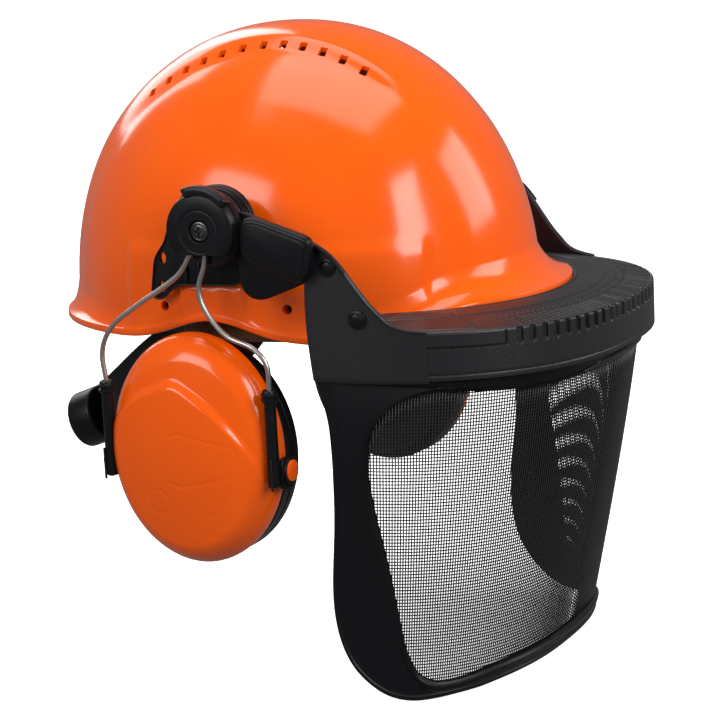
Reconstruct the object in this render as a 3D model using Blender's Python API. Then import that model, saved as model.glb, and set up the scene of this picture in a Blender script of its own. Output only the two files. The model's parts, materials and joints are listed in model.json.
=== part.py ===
"""Forestry hard hat: vented shell with a suspension, a lifting brow guard and mesh visor, and two ear muffs.

Frame: origin at the centre of the head opening, +X to the wearer's left, -Y forward, +Z up. Sizes below are in
millimetres and pass through MM on their way into a mesh. SIDES holds -1 for the right side and +1 for the left.
"""
import math

import bmesh
import bpy
from mathutils import Matrix, Vector

MM = 0.001
SIDES = {"right": -1, "left": 1}

# Shell: a dome on an oval plan, with a flared rim that grows into a peak at the front.
DOME_CENTRE_Y = 13.5
DOME_HALF_WIDTH = 104.5
DOME_FRONT, DOME_REAR = 125.0, 127.0
DOME_HEIGHT = 141.6
PLAN_POWER, RISE_POWER = 2.1, 2.09
SHELL_WALL = 3.2
RIM_HALF_WIDTH = 107.0
RIM_FRONT, RIM_REAR = 143.0, 132.5
RIM_LIP = 3.8
SHELL_COLUMNS = 48
STRAP_PAD = (94.0, 105.8, 33.0, 50.0, 1.0, 15.0)
STRAP_HOLE = (39.5, 8.8, 2.5)
VENTS_Y = (75.0, 65.0, 55.0, 45.0, 35.0, 24.0, 12.7, 1.7, -9.3, -20.7, -32.0, -43.6)
VENT_LENGTH, VENT_WIDTH, VENT_DEPTH = 4.0, 5.2, 16.0
CREST_FRONT, CREST_REAR = 30.0, 34.0
STEP_FRONT, STEP_REAR = 38.0, 55.0

# Suspension inside the shell.
BAND_CENTRE_Y = 8.0
BAND_HALF_WIDTH, BAND_HALF_LENGTH = 81.0, 99.0
BAND_LOW, BAND_HIGH, BAND_WALL = -11.0, 17.0, 2.0
SWEATBAND_WALL = 2.4
SWEATBAND_SWEEP = 112.0
CLIP_LOW, CLIP_HIGH, CLIP_WIDTH = 3.0, 19.0, 16.0
STRAP_WIDTH, STRAP_WALL, STRAP_CROWN = 19.0, 1.2, 96.0
STRAP_STEP = 2.4
NAPE_TILT = 20.0
NAPE_REAR, NAPE_Z = 128.0, -68.0

# Hub stack on each side, as distances from the middle plane.
HUB_Y, HUB_Z = 1.0, 51.5
AXLE_RADIUS, BORE_RADIUS = 7.0, 7.4
PLATE_X = (107.4, 109.8)
BASE_X = (110.1, 115.5)
ARM_X = (118.0, 121.0)
CARRIER_X = (121.4, 126.2)
CAP_X = (126.5, 132.5)
WIRE_X, WIRE_RADIUS = 123.9, 1.5

# Brow guard and visor.
GUARD_HALF_WIDTH, GUARD_CENTRE_Y, GUARD_REACH = 118.5, -48.0, 120.5
GUARD_POWER = 2.4
GUARD_TOP, GUARD_LOW, GUARD_WALL = 2.5, -21.5, 3.0
GUARD_PANEL_X = (113.9, 117.6)
GUARD_GAP = 1.8
VISOR_TOP, VISOR_LOW = -22.1, -188.0
VISOR_WALL, MESH_WALL = 4.0, 1.0

# Ear cups: an oval whose pivot axis runs fore and aft through two round buttons.
CUP_Y, CUP_Z, PLATE_Z = 19.0, -60.0, -62.5
CUP_HALF_LENGTH, CUP_HALF_HEIGHT, PLATE_HALF_HEIGHT = 47.0, 58.3, 55.0
CUP_PROFILE = ((111.0, 1.0), (117.0, 0.995), (121.0, 0.95), (125.0, 0.86), (128.5, 0.73), (131.0, 0.56), (132.4, 0.34))
CUP_INNER = ((111.0, 0.945), (117.0, 0.93), (121.0, 0.88), (125.0, 0.77), (128.0, 0.6), (129.6, 0.4))
BACK_PLATE = ((95.0, 0.95), (98.0, 1.0), (110.6, 1.0), (110.6, 0.94), (97.7, 0.93))
CUP_HOLE = (24.0, 33.0)
PIVOT_X, PIVOT_Z = 114.5, -68.0
SLEEVE_RADIUS = 3.2
SLEEVES = {"front": (-28.4, -1), "rear": (66.4, 1)}

ORANGE = (0.93, 0.27, 0.02)
BLACK = (0.012, 0.012, 0.014)
GREY = (0.10, 0.10, 0.11)
STEEL = (0.62, 0.62, 0.60)
TAN = (0.55, 0.36, 0.20)
WEBBING = (0.06, 0.06, 0.07)


def clear_scene():
    for item in list(bpy.data.objects):
        bpy.data.objects.remove(item, do_unlink=True)


def material(name, colour, roughness, metallic=0.0):
    made = bpy.data.materials.get(name)
    if made is None:
        made = bpy.data.materials.new(name)
        made.use_nodes = True
        shader = made.node_tree.nodes["Principled BSDF"]
        shader.inputs["Base Color"].default_value = (*colour, 1.0)
        shader.inputs["Roughness"].default_value = roughness
        shader.inputs["Metallic"].default_value = metallic
    return made


def gloss_orange():
    return material("orange_shell_plastic", ORANGE, 0.22)


def matte_black():
    return material("black_moulded_plastic", BLACK, 0.55)


def place(obj, look, parent=None):
    """Links an object to the scene with its material, under its joint's empty."""
    bpy.context.scene.collection.objects.link(obj)
    obj.data.materials.append(look)
    if parent is not None:
        obj.parent = parent
        obj.matrix_parent_inverse = parent.matrix_world.inverted()
    return obj


def joint_empty(name, x, y, z):
    empty = bpy.data.objects.new(name, None)
    empty.location = (x * MM, y * MM, z * MM)
    bpy.context.scene.collection.objects.link(empty)
    bpy.context.view_layer.update()
    return empty


def mesh_object(name, build, look, parent=None, smooth_angle=35.0):
    """An object whose mesh the function build fills, in millimetres."""
    shape = bmesh.new()
    build(shape)
    bmesh.ops.scale(shape, vec=(MM, MM, MM), verts=shape.verts)
    bmesh.ops.recalc_face_normals(shape, faces=shape.faces)
    data = bpy.data.meshes.new(name)
    shape.to_mesh(data)
    shape.free()
    data.shade_smooth()
    data.set_sharp_from_angle(angle=math.radians(smooth_angle))
    return place(bpy.data.objects.new(name, data), look, parent)


def loft(shape, rings, closed_loop=False, cap=True):
    """Quads between rings of equal length; the ends are capped, or the last ring joins the first."""
    rows = [[shape.verts.new(point) for point in ring] for ring in rings]
    pairs = list(zip(rows, rows[1:] + rows[:1] if closed_loop else rows[1:]))
    for low, high in pairs:
        for i in range(len(low)):
            j = (i + 1) % len(low)
            shape.faces.new((low[i], low[j], high[j], high[i]))
    if cap and not closed_loop:
        shape.faces.new(rows[0])
        shape.faces.new(rows[-1])


def prism(outline, x_low, x_high):
    """A builder of a plate with the outline (y, z), between two distances along X."""
    def build(shape):
        loft(shape, [[(x, y, z) for y, z in outline] for x in (x_low, x_high)])
    return build


def oval_points(radius_y, radius_z, count, centre=(0.0, 0.0), start=0.0):
    """Points (y, z) round an ellipse."""
    turns = [start + 2 * math.pi * i / count for i in range(count)]
    return [(centre[0] + radius_y * math.cos(t), centre[1] + radius_z * math.sin(t)) for t in turns]


def box_build(x0, x1, y0, y1, z0, z1):
    return prism([(y0, z0), (y1, z0), (y1, z1), (y0, z1)], x0, x1)


def add_boolean(obj, operation, build, index=0):
    """Joins or cuts a helper shape, which stays out of renders and of the part."""
    helper = mesh_object(f"{obj.name}_{operation.lower()}_{index}", build, obj.data.materials[0])
    helper.hide_render = True
    helper.display_type = "WIRE"
    step = obj.modifiers.new(f"{operation}_{index}", "BOOLEAN")
    step.operation = operation
    step.solver = "EXACT"
    step.object = helper


def add_bevel(obj, width, segments=2, angle=40.0):
    step = obj.modifiers.new("Bevel", "BEVEL")
    step.width = width * MM
    step.segments = segments
    step.limit_method = "ANGLE"
    step.angle_limit = math.radians(angle)


def tube(name, points, radius, look, parent=None, sides=2):
    """A round wire along points in millimetres, with filled ends."""
    data = bpy.data.curves.new(name, "CURVE")
    data.dimensions = "3D"
    data.bevel_depth = radius * MM
    data.bevel_resolution = sides
    data.use_fill_caps = True
    line = data.splines.new("POLY")
    line.points.add(len(points) - 1)
    for point, place_at in zip(line.points, points):
        point.co = (*(c * MM for c in place_at), 1.0)
    return place(bpy.data.objects.new(name, data), look, parent)


def smooth_path(points, per_span=4):
    """A Catmull-Rom curve through points."""
    ends = [points[0]] + list(points) + [points[-1]]
    path = []
    for a, b, c, d in zip(ends, ends[1:], ends[2:], ends[3:]):
        a, b, c, d = map(Vector, (a, b, c, d))
        for k in range(per_span):
            t = k / per_span
            path.append(0.5 * (2 * b + (c - a) * t + (2 * a - 5 * b + 4 * c - d) * t * t
                               + (3 * b - a - 3 * c + d) * t ** 3))
    return [tuple(point) for point in path] + [tuple(points[-1])]


def smoothstep(low, high, value):
    t = min(1.0, max(0.0, (value - low) / (high - low)))
    return t * t * (3 - 2 * t)


def plan_radius(turn, half_width, front, rear):
    """Distance from the dome's centre to an oval outline, in the direction of turn."""
    half_length = front if math.sin(turn) < 0 else rear
    powers = abs(math.cos(turn) / half_width) ** PLAN_POWER + abs(math.sin(turn) / half_length) ** PLAN_POWER
    return powers ** (-1 / PLAN_POWER)


def dome_point(turn, z, wall=0.0):
    """A point of the dome's outer face at height z, or of its inner face when wall is its thickness."""
    height = DOME_HEIGHT - wall
    scale = max(0.0, 1 - (z / height) ** RISE_POWER) ** (1 / RISE_POWER) if z > 0 else 1.0
    reach = scale * plan_radius(turn, DOME_HALF_WIDTH - wall, DOME_FRONT - wall, DOME_REAR - wall)
    return (reach * math.cos(turn), DOME_CENTRE_Y + reach * math.sin(turn), z)


def rim_point(turn, z):
    reach = plan_radius(turn, RIM_HALF_WIDTH, RIM_FRONT, RIM_REAR)
    return (reach * math.cos(turn), DOME_CENTRE_Y + reach * math.sin(turn), z)


def rim_low(turn):
    """Height of the shell's lower edge: arched over the ears and raised under the peak."""
    y = rim_point(turn, 0.0)[1]
    return -9.0 + 11.5 * math.exp(-((y - 13.0) / 30.0) ** 2) + 13.0 * smoothstep(60.0, 115.0, -y)


def turns(count):
    return [2 * math.pi * i / count for i in range(count)]


def build_shell(shape):
    around = turns(SHELL_COLUMNS)

    def wall_start(turn):
        flare = 6.0 + 9.0 * abs(math.sin(turn)) ** 2
        return rim_low(turn) + RIM_LIP + flare

    def ring(z_of, wall=0.0):
        return [dome_point(turn, z_of(turn), wall) for turn in around]

    def climb(low_of, top, share):
        """Height part of the way up, closer together towards the crown."""
        return lambda turn: low_of(turn) + (top - low_of(turn)) * math.sin(share * math.pi / 2)

    shares = (0.08, 0.18, 0.29, 0.41, 0.54, 0.68, 0.82, 0.94)
    rings = [ring(climb(wall_start, DOME_HEIGHT, share)) for share in reversed(shares)]
    rings.append(ring(wall_start))
    flare = []
    for turn in around:
        wall, rim = Vector(dome_point(turn, wall_start(turn))), Vector(rim_point(turn, rim_low(turn) + RIM_LIP))
        middle = wall.lerp(rim, 0.55)
        middle.z = rim.z + 0.3 * (wall.z - rim.z)
        flare.append(tuple(middle))
    rings.append(flare)
    rings.append([rim_point(turn, rim_low(turn) + RIM_LIP) for turn in around])
    rings.append([rim_point(turn, rim_low(turn)) for turn in around])
    rings.append(ring(rim_low, SHELL_WALL))
    inner_top = DOME_HEIGHT - SHELL_WALL
    rings += [ring(climb(rim_low, inner_top, share), SHELL_WALL) for share in shares[1:]]
    loft(shape, rings)


def vent_half_x(y):
    """Distance of a vent from the middle plane: on the step beside the raised middle of the shell."""
    crest = CREST_FRONT + (CREST_REAR - CREST_FRONT) * smoothstep(0.0, 60.0, y)
    foot = STEP_FRONT + (STEP_REAR - STEP_FRONT) * smoothstep(-10.0, 80.0, y)
    return crest + 0.62 * (foot - crest)


def dome_height_at(x, y):
    half_length = DOME_FRONT if y < DOME_CENTRE_Y else DOME_REAR
    plan = abs(x / DOME_HALF_WIDTH) ** PLAN_POWER + abs((y - DOME_CENTRE_Y) / half_length) ** PLAN_POWER
    return DOME_HEIGHT * (1 - plan ** (RISE_POWER / PLAN_POWER)) ** (1 / RISE_POWER)


def vent_cutter(side):
    """Twelve blocks that stand square to the dome, one for each vent on this side."""
    def build(shape):
        for y in VENTS_Y:
            x = side * vent_half_x(y)
            place_at = Vector((x, y, dome_height_at(x, y)))
            slope_x = dome_height_at(x + 0.5, y) - dome_height_at(x - 0.5, y)
            slope_y = dome_height_at(x, y + 0.5) - dome_height_at(x, y - 0.5)
            out = Vector((-slope_x, -slope_y, 1.0)).normalized() * VENT_DEPTH / 2
            along = Vector((0.0, 1.0, slope_y)).normalized() * VENT_LENGTH / 2
            across = along.cross(out).normalized() * VENT_WIDTH / 2
            loft(shape, [[tuple(place_at + k * out + a * along + b * across)
                          for a, b in ((-1, -1), (1, -1), (1, 1), (-1, 1))] for k in (-1, 1)])
    return build


def make_shell():
    shell = mesh_object("shell", build_shell, gloss_orange(), smooth_angle=50.0)
    x0, x1, y0, y1, z0, z1 = STRAP_PAD
    hole_y, hole_z, hole_radius = STRAP_HOLE
    for index, side in enumerate(SIDES.values()):
        low, high = sorted((side * x0, side * x1))
        add_boolean(shell, "UNION", box_build(low, high, y0, y1, z0, z1), index)
        hole = prism(oval_points(hole_radius, hole_radius, 12, (hole_y, hole_z)), side * 90.0, side * 112.0)
        add_boolean(shell, "DIFFERENCE", hole, index + 2)
        add_boolean(shell, "DIFFERENCE", vent_cutter(side), index + 4)


def band_point(turn, outset, z):
    return ((BAND_HALF_WIDTH + outset) * math.cos(turn),
            BAND_CENTRE_Y + (BAND_HALF_LENGTH + outset) * math.sin(turn), z)


def make_headband():
    def build(shape):
        section = ((0.0, BAND_LOW), (0.0, BAND_HIGH), (-BAND_WALL, BAND_HIGH), (-BAND_WALL, BAND_LOW))
        loft(shape, [[band_point(turn, out, z) for turn in turns(40)] for out, z in section], closed_loop=True)
    mesh_object("headband", build, matte_black())


def make_sweatband():
    """Leather folded round the lower edge of the headband, over the forehead and both temples."""
    gap, leaf = 0.3, SWEATBAND_WALL
    inside = -BAND_WALL - gap
    section = ((gap, 3.0), (gap + 1.2, 3.0), (gap + 1.2, BAND_LOW - gap - 1.2), (inside - leaf, BAND_LOW - gap - 1.2),
               (inside - leaf, 12.0), (inside, 12.0), (inside, BAND_LOW - gap), (gap, BAND_LOW - gap))

    def build(shape):
        count = 28
        sweep = math.radians(SWEATBAND_SWEEP)
        path = [-math.pi / 2 - sweep + 2 * sweep * i / count for i in range(count + 1)]
        loft(shape, [[band_point(turn, out, z) for out, z in section] for turn in path])
    mesh_object("sweatband", build, material("tan_leather", TAN, 0.75))


def clip_turns():
    return {"front": -90, "front_left": -32, "rear_left": 34, "rear": 90, "rear_right": 146, "front_right": -148}


def make_clips():
    """Six hooks that hold the headband and the straps off the shell's wall."""
    for name, degrees in clip_turns().items():
        turn = math.radians(degrees)
        wall = Vector(dome_point(turn, CLIP_HIGH, SHELL_WALL))
        band = Vector(band_point(math.atan2((wall.y - BAND_CENTRE_Y) / BAND_HALF_LENGTH, wall.x / BAND_HALF_WIDTH),
                                 0.0, 0.0))
        out = Vector((wall.x - band.x, wall.y - band.y, 0.0)).normalized()
        across = Vector((-out.y, out.x, 0.0)) * CLIP_WIDTH / 2
        near = band + out * 1.9
        far = Vector((wall.x, wall.y, 0.0)) - out * 3.2
        heel = far - out * 3.5
        # An L: an arm from the headband out to an upright tongue beside the wall.
        section = ((near, CLIP_LOW), (far, CLIP_LOW), (far, CLIP_HIGH), (heel, CLIP_HIGH),
                   (heel, CLIP_LOW + 4), (near, CLIP_LOW + 4))

        def build(shape, section=section, across=across):
            ends = [[(p.x + k * across.x, p.y + k * across.y, z) for p, z in section] for k in (-1, 1)]
            loft(shape, ends)
        mesh_object(f"suspension_clip_{name}", build, matte_black())


def make_crown_straps():
    """Three webbing straps that cross over the head, each one lying on the one below."""
    pairs = {"centre": ("front", "rear"), "left": ("front_left", "rear_right"), "right": ("front_right", "rear_left")}
    places = clip_turns()
    for level, (name, ends) in enumerate(pairs.items()):
        feet = []
        for end in ends:
            foot = Vector(dome_point(math.radians(places[end]), CLIP_HIGH, SHELL_WALL))
            inward = Vector((-foot.x, DOME_CENTRE_Y - foot.y, 0.0)).normalized()
            feet.append(foot + inward * 8.5)
        foot_z, crown = CLIP_HIGH - 4.0, STRAP_CROWN + level * STRAP_STEP
        run = feet[1] - feet[0]
        across = Vector((-run.y, run.x, 0.0)).normalized() * STRAP_WIDTH / 2

        def build(shape, feet=feet, across=across, foot_z=foot_z, crown=crown):
            rings = []
            count = 22
            for i in range(count + 1):
                t = math.pi * i / count
                middle = feet[0].lerp(feet[1], 0.5 - 0.5 * math.cos(t))
                out = Vector((math.cos(t) * (feet[0] - feet[1]).x, math.cos(t) * (feet[0] - feet[1]).y,
                              math.sin(t) * run.length * 0.5 / (crown - foot_z) * 120.0)).normalized()
                z = foot_z + (crown - foot_z) * math.sin(t)
                base = Vector((middle.x, middle.y, z))
                lift = out * STRAP_WALL
                rings.append([tuple(base - across), tuple(base + across),
                              tuple(base + across + lift), tuple(base - across + lift)])
            loft(shape, rings)
        mesh_object(f"crown_strap_{name}", build, material("grey_webbing", WEBBING, 0.85))


def make_nape_band(joint):
    """A ribbon that drops from both temples and crosses behind the neck, leaning in at its lower edge."""
    half = [(71.0, 28.0, -2.0), (64.5, 46.0, -9.0), (57.0, 62.0, -18.0), (55.5, 77.0, -30.0),
            (53.5, 93.0, -45.0), (47.5, 108.0, -57.5), (36.0, 119.5, -65.0), (20.0, 126.0, -68.0),
            (0.0, NAPE_REAR, NAPE_Z)]
    route = half + [(-x, y, z) for x, y, z in reversed(half[:-1])]
    lean = math.sin(math.radians(NAPE_TILT))

    def build(shape):
        rings = []
        for i, point in enumerate(route):
            here = Vector(point)
            before, after = Vector(route[max(i - 1, 0)]), Vector(route[min(i + 1, len(route) - 1)])
            along = (after - before).normalized()
            share = smoothstep(40.0, 120.0, here.y)
            up = Vector((0.0, lean * share, 1.0))
            up = (up - along * up.dot(along)).normalized()
            out = up.cross(along).normalized() * 1.1
            width = 8.5 + 6.5 * share
            rings.append([tuple(here + up * a * width + out * b) for a, b in ((-1, -1), (1, -1), (1, 1), (-1, 1))])
        loft(shape, rings)
    mesh_object("nape_band", build, matte_black(), joint)


def nape_frame():
    """Place of the ratchet, which leans with the nape band's middle."""
    tilt = Matrix.Rotation(-math.radians(NAPE_TILT), 4, "X")
    return Matrix.Translation((0.0, NAPE_REAR * MM, NAPE_Z * MM)) @ tilt


def make_ratchet(nape_joint, knob_joint):
    def housing(shape):
        outline = oval_points(15.5, 15.5, 16)
        points = [(x + math.copysign(25.5, x), z) for x, z in outline]
        loft(shape, [[(x, y, z) for x, z in points] for y in (1.6, 17.0)])

    def knob(shape):
        rings = []
        for y, radius in ((17.4, 13.5), (18.6, 15.0), (24.8, 15.0), (27.0, 13.0)):
            grip = [radius * (1.0 - 0.05 * (i % 2)) for i in range(24)]
            rings.append([(r * math.cos(t), y, r * math.sin(t)) for r, t in zip(grip, turns(24))])
        loft(shape, rings)
    for name, build, joint in (("ratchet_housing", housing, nape_joint), ("ratchet_knob", knob, knob_joint)):
        obj = mesh_object(name, build, matte_black(), joint)
        obj.matrix_world = nape_frame()


def make_hub(name, side, root_joint, visor_joint, turn_joint):
    """Adapter plate, hub base, visor arm with its cover, muff carrier, cap and screw on one side."""
    def span(low_high):
        return sorted(side * value for value in low_high)

    plate_outline = [(33, 43), (40, 34), (43, 14.5), (38, 13), (28, 21), (-6, 21.7), (-16, 33),
                     (-18, 50), (-11, 65), (4, 71), (20, 67), (30, 56)]
    plate = mesh_object(f"adapter_plate_{name}", prism(plate_outline, *span(PLATE_X)), matte_black(), root_joint)
    for index, (y, z) in enumerate(((35.5, 34.0), (37.0, 19.5))):
        cut = prism(oval_points(2.2, 3.0, 12, (y, z)), *span((104.0, 112.0)))
        add_boolean(plate, "DIFFERENCE", cut, index)

    def disc(radius, x_range, bore=None, count=24):
        ring = oval_points(radius, radius, count, (HUB_Y, HUB_Z))
        low, high = span(x_range)

        def build(shape):
            if bore is None:
                loft(shape, [[(x, y, z) for y, z in ring] for x in (low, high)])
                return
            hole = oval_points(bore, bore, count, (HUB_Y, HUB_Z))
            loft(shape, [[(low, y, z) for y, z in ring], [(high, y, z) for y, z in ring],
                         [(high, y, z) for y, z in hole], [(low, y, z) for y, z in hole]], closed_loop=True)
        return build

    base = mesh_object(f"hub_base_{name}", disc(20.0, BASE_X), matte_black(), root_joint)
    add_boolean(base, "UNION", disc(12.0, (114.0, 117.7)), 0)
    add_boolean(base, "UNION", disc(AXLE_RADIUS, (114.0, 126.0)), 1)

    arm = mesh_object(f"visor_arm_{name}", disc(15.5, ARM_X, BORE_RADIUS), matte_black(), visor_joint)
    lever = [(-10.0, 60.0), (-11.5, 44.0), (-12.0, 40.0), (-51.0, 31.0), (-53.0, 46.0), (-22.0, 56.0)]
    add_boolean(arm, "UNION", prism(lever, *span(ARM_X)), 0)

    cover = [(-23, 57), (-18.5, 44), (-20, 34), (-28, 19), (-34, 19), (-38, 31), (-52, 29), (-55, 47)]
    cover_object = mesh_object(f"arm_cover_{name}", prism(cover, *span((121.3, 128.5))), matte_black(), visor_joint)
    add_bevel(cover_object, 1.8)

    carrier = mesh_object(f"muff_carrier_{name}", disc(16.0, CARRIER_X, BORE_RADIUS), matte_black(), turn_joint)
    groove = box_build(*span((120.0, 127.0)), -2.0, 15.0, 30.0, 44.3)
    add_boolean(carrier, "DIFFERENCE", groove, 0)

    cap = mesh_object(f"hub_cap_{name}", disc(19.0, CAP_X, 5.4), matte_black(), turn_joint)
    add_boolean(cap, "DIFFERENCE", box_build(*span((120.0, 140.0)), -30.0, 30.0, 20.0, HUB_Z - 11.5), 0)
    mesh_object(f"hub_screw_{name}", disc(5.0, (126.6, 131.8), count=20), material("dark_screw", GREY, 0.4, 0.8),
                turn_joint)


def make_muff(name, side, swing_joint, slide_joint, tilt_joint):
    """Spring wire, its two sleeves, and the cup with its pivot buttons."""
    front, rear = SLEEVES["front"][0], SLEEVES["rear"][0]
    route = [(front, -66), (front, -45), (front, -27), (front + 1.2, -14), (-20, -6), (-6, -0.5), (4.5, 11),
             (7.8, 22), (4.2, 33), (3.2, 40.5), (7, 42.2), (10.5, 40), (20, 27.5), (42, 13.5), (56, 4), (63, -4.5),
             (rear - 0.8, -14), (rear, -27), (rear, -45), (rear, -66)]
    path = smooth_path([(side * WIRE_X, y, z) for y, z in route], 2)
    steel = material("spring_steel", STEEL, 0.3, 1.0)
    tube(f"wire_arm_{name}", path, WIRE_RADIUS, steel, swing_joint, 1)

    for end, (y, facing) in SLEEVES.items():
        sleeve_name = f"sleeve_{end}_{name}"

        def sleeve(shape, y=y, facing=facing):
            rings = []
            for radius, z in ((SLEEVE_RADIUS, -79.0), (SLEEVE_RADIUS, -36.0), (4.2, -35.0), (4.2, -31.0),
                              (WIRE_RADIUS + 0.35, -31.0), (WIRE_RADIUS + 0.35, -79.0)):
                rings.append([(side * WIRE_X + radius * math.cos(t), y + radius * math.sin(t), z)
                              for t in turns(16)])
            loft(shape, rings, closed_loop=True)
        body = mesh_object(sleeve_name, sleeve, matte_black(), slide_joint)
        edge = CUP_Y + facing * CUP_HALF_LENGTH
        near, far = sorted((edge + facing * 1.2, edge + facing * 3.8))
        lug = [(near, -61.0), (far, -61.0), (far, -77.0), (near, -77.0)]
        x_low, x_high = sorted((side * 107.0, side * (WIRE_X - 2.2)))
        add_boolean(body, "UNION", prism(lug, x_low, x_high), 0)

        def pin(radius, y_from, y_to, count=16):
            def build(shape):
                loft(shape, [[(side * PIVOT_X + radius * math.cos(t), yy, PIVOT_Z + radius * math.sin(t))
                              for t in turns(count)] for yy in (y_from, y_to)])
            return build
        add_boolean(body, "DIFFERENCE", pin(3.3, edge - facing * 1.0, edge + facing * 9.0), 1)
        button = mesh_object(f"pivot_button_{end}_{name}", pin(5.4, edge + facing * 4.2, edge + facing * 6.2, 24),
                             gloss_orange(), tilt_joint)
        add_boolean(button, "UNION", pin(2.9, edge + facing * 0.4, edge + facing * 5.0), 0)

    def cup_ring(x, scale, count=28):
        points = oval_points(CUP_HALF_LENGTH * scale, CUP_HALF_HEIGHT * scale, count, (CUP_Y, CUP_Z))
        return [(side * x, y, z) for y, z in points]

    def plate_ring(x, half_length, half_height, count=28):
        return [(side * x, y, z) for y, z in oval_points(half_length, half_height, count, (CUP_Y, PLATE_Z))]

    def scaled_ring(x, scale):
        return plate_ring(x, CUP_HALF_LENGTH * scale, PLATE_HALF_HEIGHT * scale)

    def cup(shape):
        outer = [cup_ring(x, scale) for x, scale in reversed(CUP_PROFILE)]
        inner = [cup_ring(x, scale) for x, scale in CUP_INNER]
        loft(shape, outer + inner)
    mesh_object(f"cup_shell_{name}", cup, gloss_orange(), tilt_joint, 50.0)

    def back_plate(shape):
        """A plate whose deep rim the cup closes; its oval hole opens into the cushion's."""
        rings = [scaled_ring(x, scale) for x, scale in BACK_PLATE]
        loft(shape, rings + [plate_ring(x, *CUP_HOLE) for x in (97.7, 95.0)], closed_loop=True)
    mesh_object(f"cup_back_plate_{name}", back_plate, matte_black(), tilt_joint)

    def cushion(shape):
        rings = [scaled_ring(x, 0.9) for x in (84.8, 94.7)]
        loft(shape, rings + [plate_ring(x, *CUP_HOLE) for x in (94.7, 84.8)], closed_loop=True)
    soft = material("black_cushion_skin", BLACK, 0.7)
    add_bevel(mesh_object(f"ear_cushion_{name}", cushion, soft, tilt_joint), 3.0, 1)

    def foam(shape):
        loft(shape, [scaled_ring(x, scale) for x, scale in ((104.0, 0.84), (112.0, 0.82), (121.0, 0.66))])
    mesh_object(f"foam_insert_{name}", foam, material("grey_foam", GREY, 0.95), tilt_joint)


def signed_power(value):
    """Makes the guard's and the visor's ovals squarer than an ellipse."""
    return math.copysign(abs(value) ** (2.0 / GUARD_POWER), value)


def guard_outline(bearing, half_width, reach):
    """A point of an oval outline in front of the guard's centre line; bearing 0 is straight ahead."""
    return (half_width * signed_power(math.sin(bearing)), GUARD_CENTRE_Y - reach * signed_power(math.cos(bearing)))


def guard_inner(x, y):
    """The point just outside the shell's rim, in the direction of (x, y) from the dome's centre."""
    turn = math.atan2(y - DOME_CENTRE_Y, x)
    reach = plan_radius(turn, RIM_HALF_WIDTH, RIM_FRONT, RIM_REAR) + GUARD_GAP
    return (reach * math.cos(turn), DOME_CENTRE_Y + reach * math.sin(turn))


def make_brow_guard(joint):
    def crescent(shape):
        count = 36
        sweep = math.radians(84.0)
        rings = []
        for i in range(count + 1):
            bearing = -sweep + 2 * sweep * i / count
            outer = guard_outline(bearing, GUARD_HALF_WIDTH, GUARD_REACH)
            skirt = guard_outline(bearing, GUARD_HALF_WIDTH - GUARD_WALL, GUARD_REACH - GUARD_WALL)
            inner = guard_inner(*outer)
            rings.append([(*inner, GUARD_TOP + 4.0), (*outer, GUARD_TOP), (*outer, GUARD_LOW), (*skirt, GUARD_LOW),
                          (*skirt, GUARD_TOP - 4.0), (*inner, GUARD_TOP + 1.0)])
        loft(shape, rings)
    guard = mesh_object("brow_guard", crescent, matte_black(), joint)
    panel = [(-50, 46.5), (-59, 41.5), (-67, 33), (-78, 17.5), (-85, 10), (-92, GUARD_TOP), (-92, GUARD_LOW),
             (-50, GUARD_LOW), (-48, -9), (-47.5, 3), (-49, 26)]
    for index, side in enumerate(SIDES.values()):
        low, high = sorted(side * value for value in GUARD_PANEL_X)
        add_boolean(guard, "UNION", prism(panel, low, high), index)


def make_rivets(name, side, joint):
    for place_name, (y, z) in (("upper", (-60.0, 33.5)), ("lower", (-74.0, 9.0))):
        def rivet(shape, y=y, z=z):
            rings = [[(side * x, py, pz) for py, pz in oval_points(radius, radius, 16, (y, z))]
                     for x, radius in ((117.9, 3.6), (119.0, 3.6), (119.9, 2.2))]
            loft(shape, rings)
        mesh_object(f"guard_rivet_{place_name}_{name}", rivet, matte_black(), joint)


def visor_point(bearing, drop, inset):
    """A point of the visor: bearing from straight ahead, drop from 0 at its top to 1, inset towards the face."""
    side = abs(bearing) / (math.pi / 2)
    low = VISOR_LOW + 34.0 * max(0.0, (side - 0.55) / 0.45) ** 2
    z = VISOR_TOP + (low - VISOR_TOP) * drop
    depth = (VISOR_TOP - z) / (VISOR_TOP - VISOR_LOW)
    rear = -49.5 - 7.5 * math.sin(min(1.0, depth / 0.5) * math.pi) + 2.7 * smoothstep(0.5, 0.75, depth)
    half_width = 117.6 - 7.0 * depth ** 1.5
    reach = 111.5 - 36.5 * depth
    return ((half_width - inset) * signed_power(math.sin(bearing)),
            rear - (reach - inset) * signed_power(math.cos(bearing)), z)


def window_bearing(drop):
    return math.radians(77.0 - 18.0 * drop ** 1.6)


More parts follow.
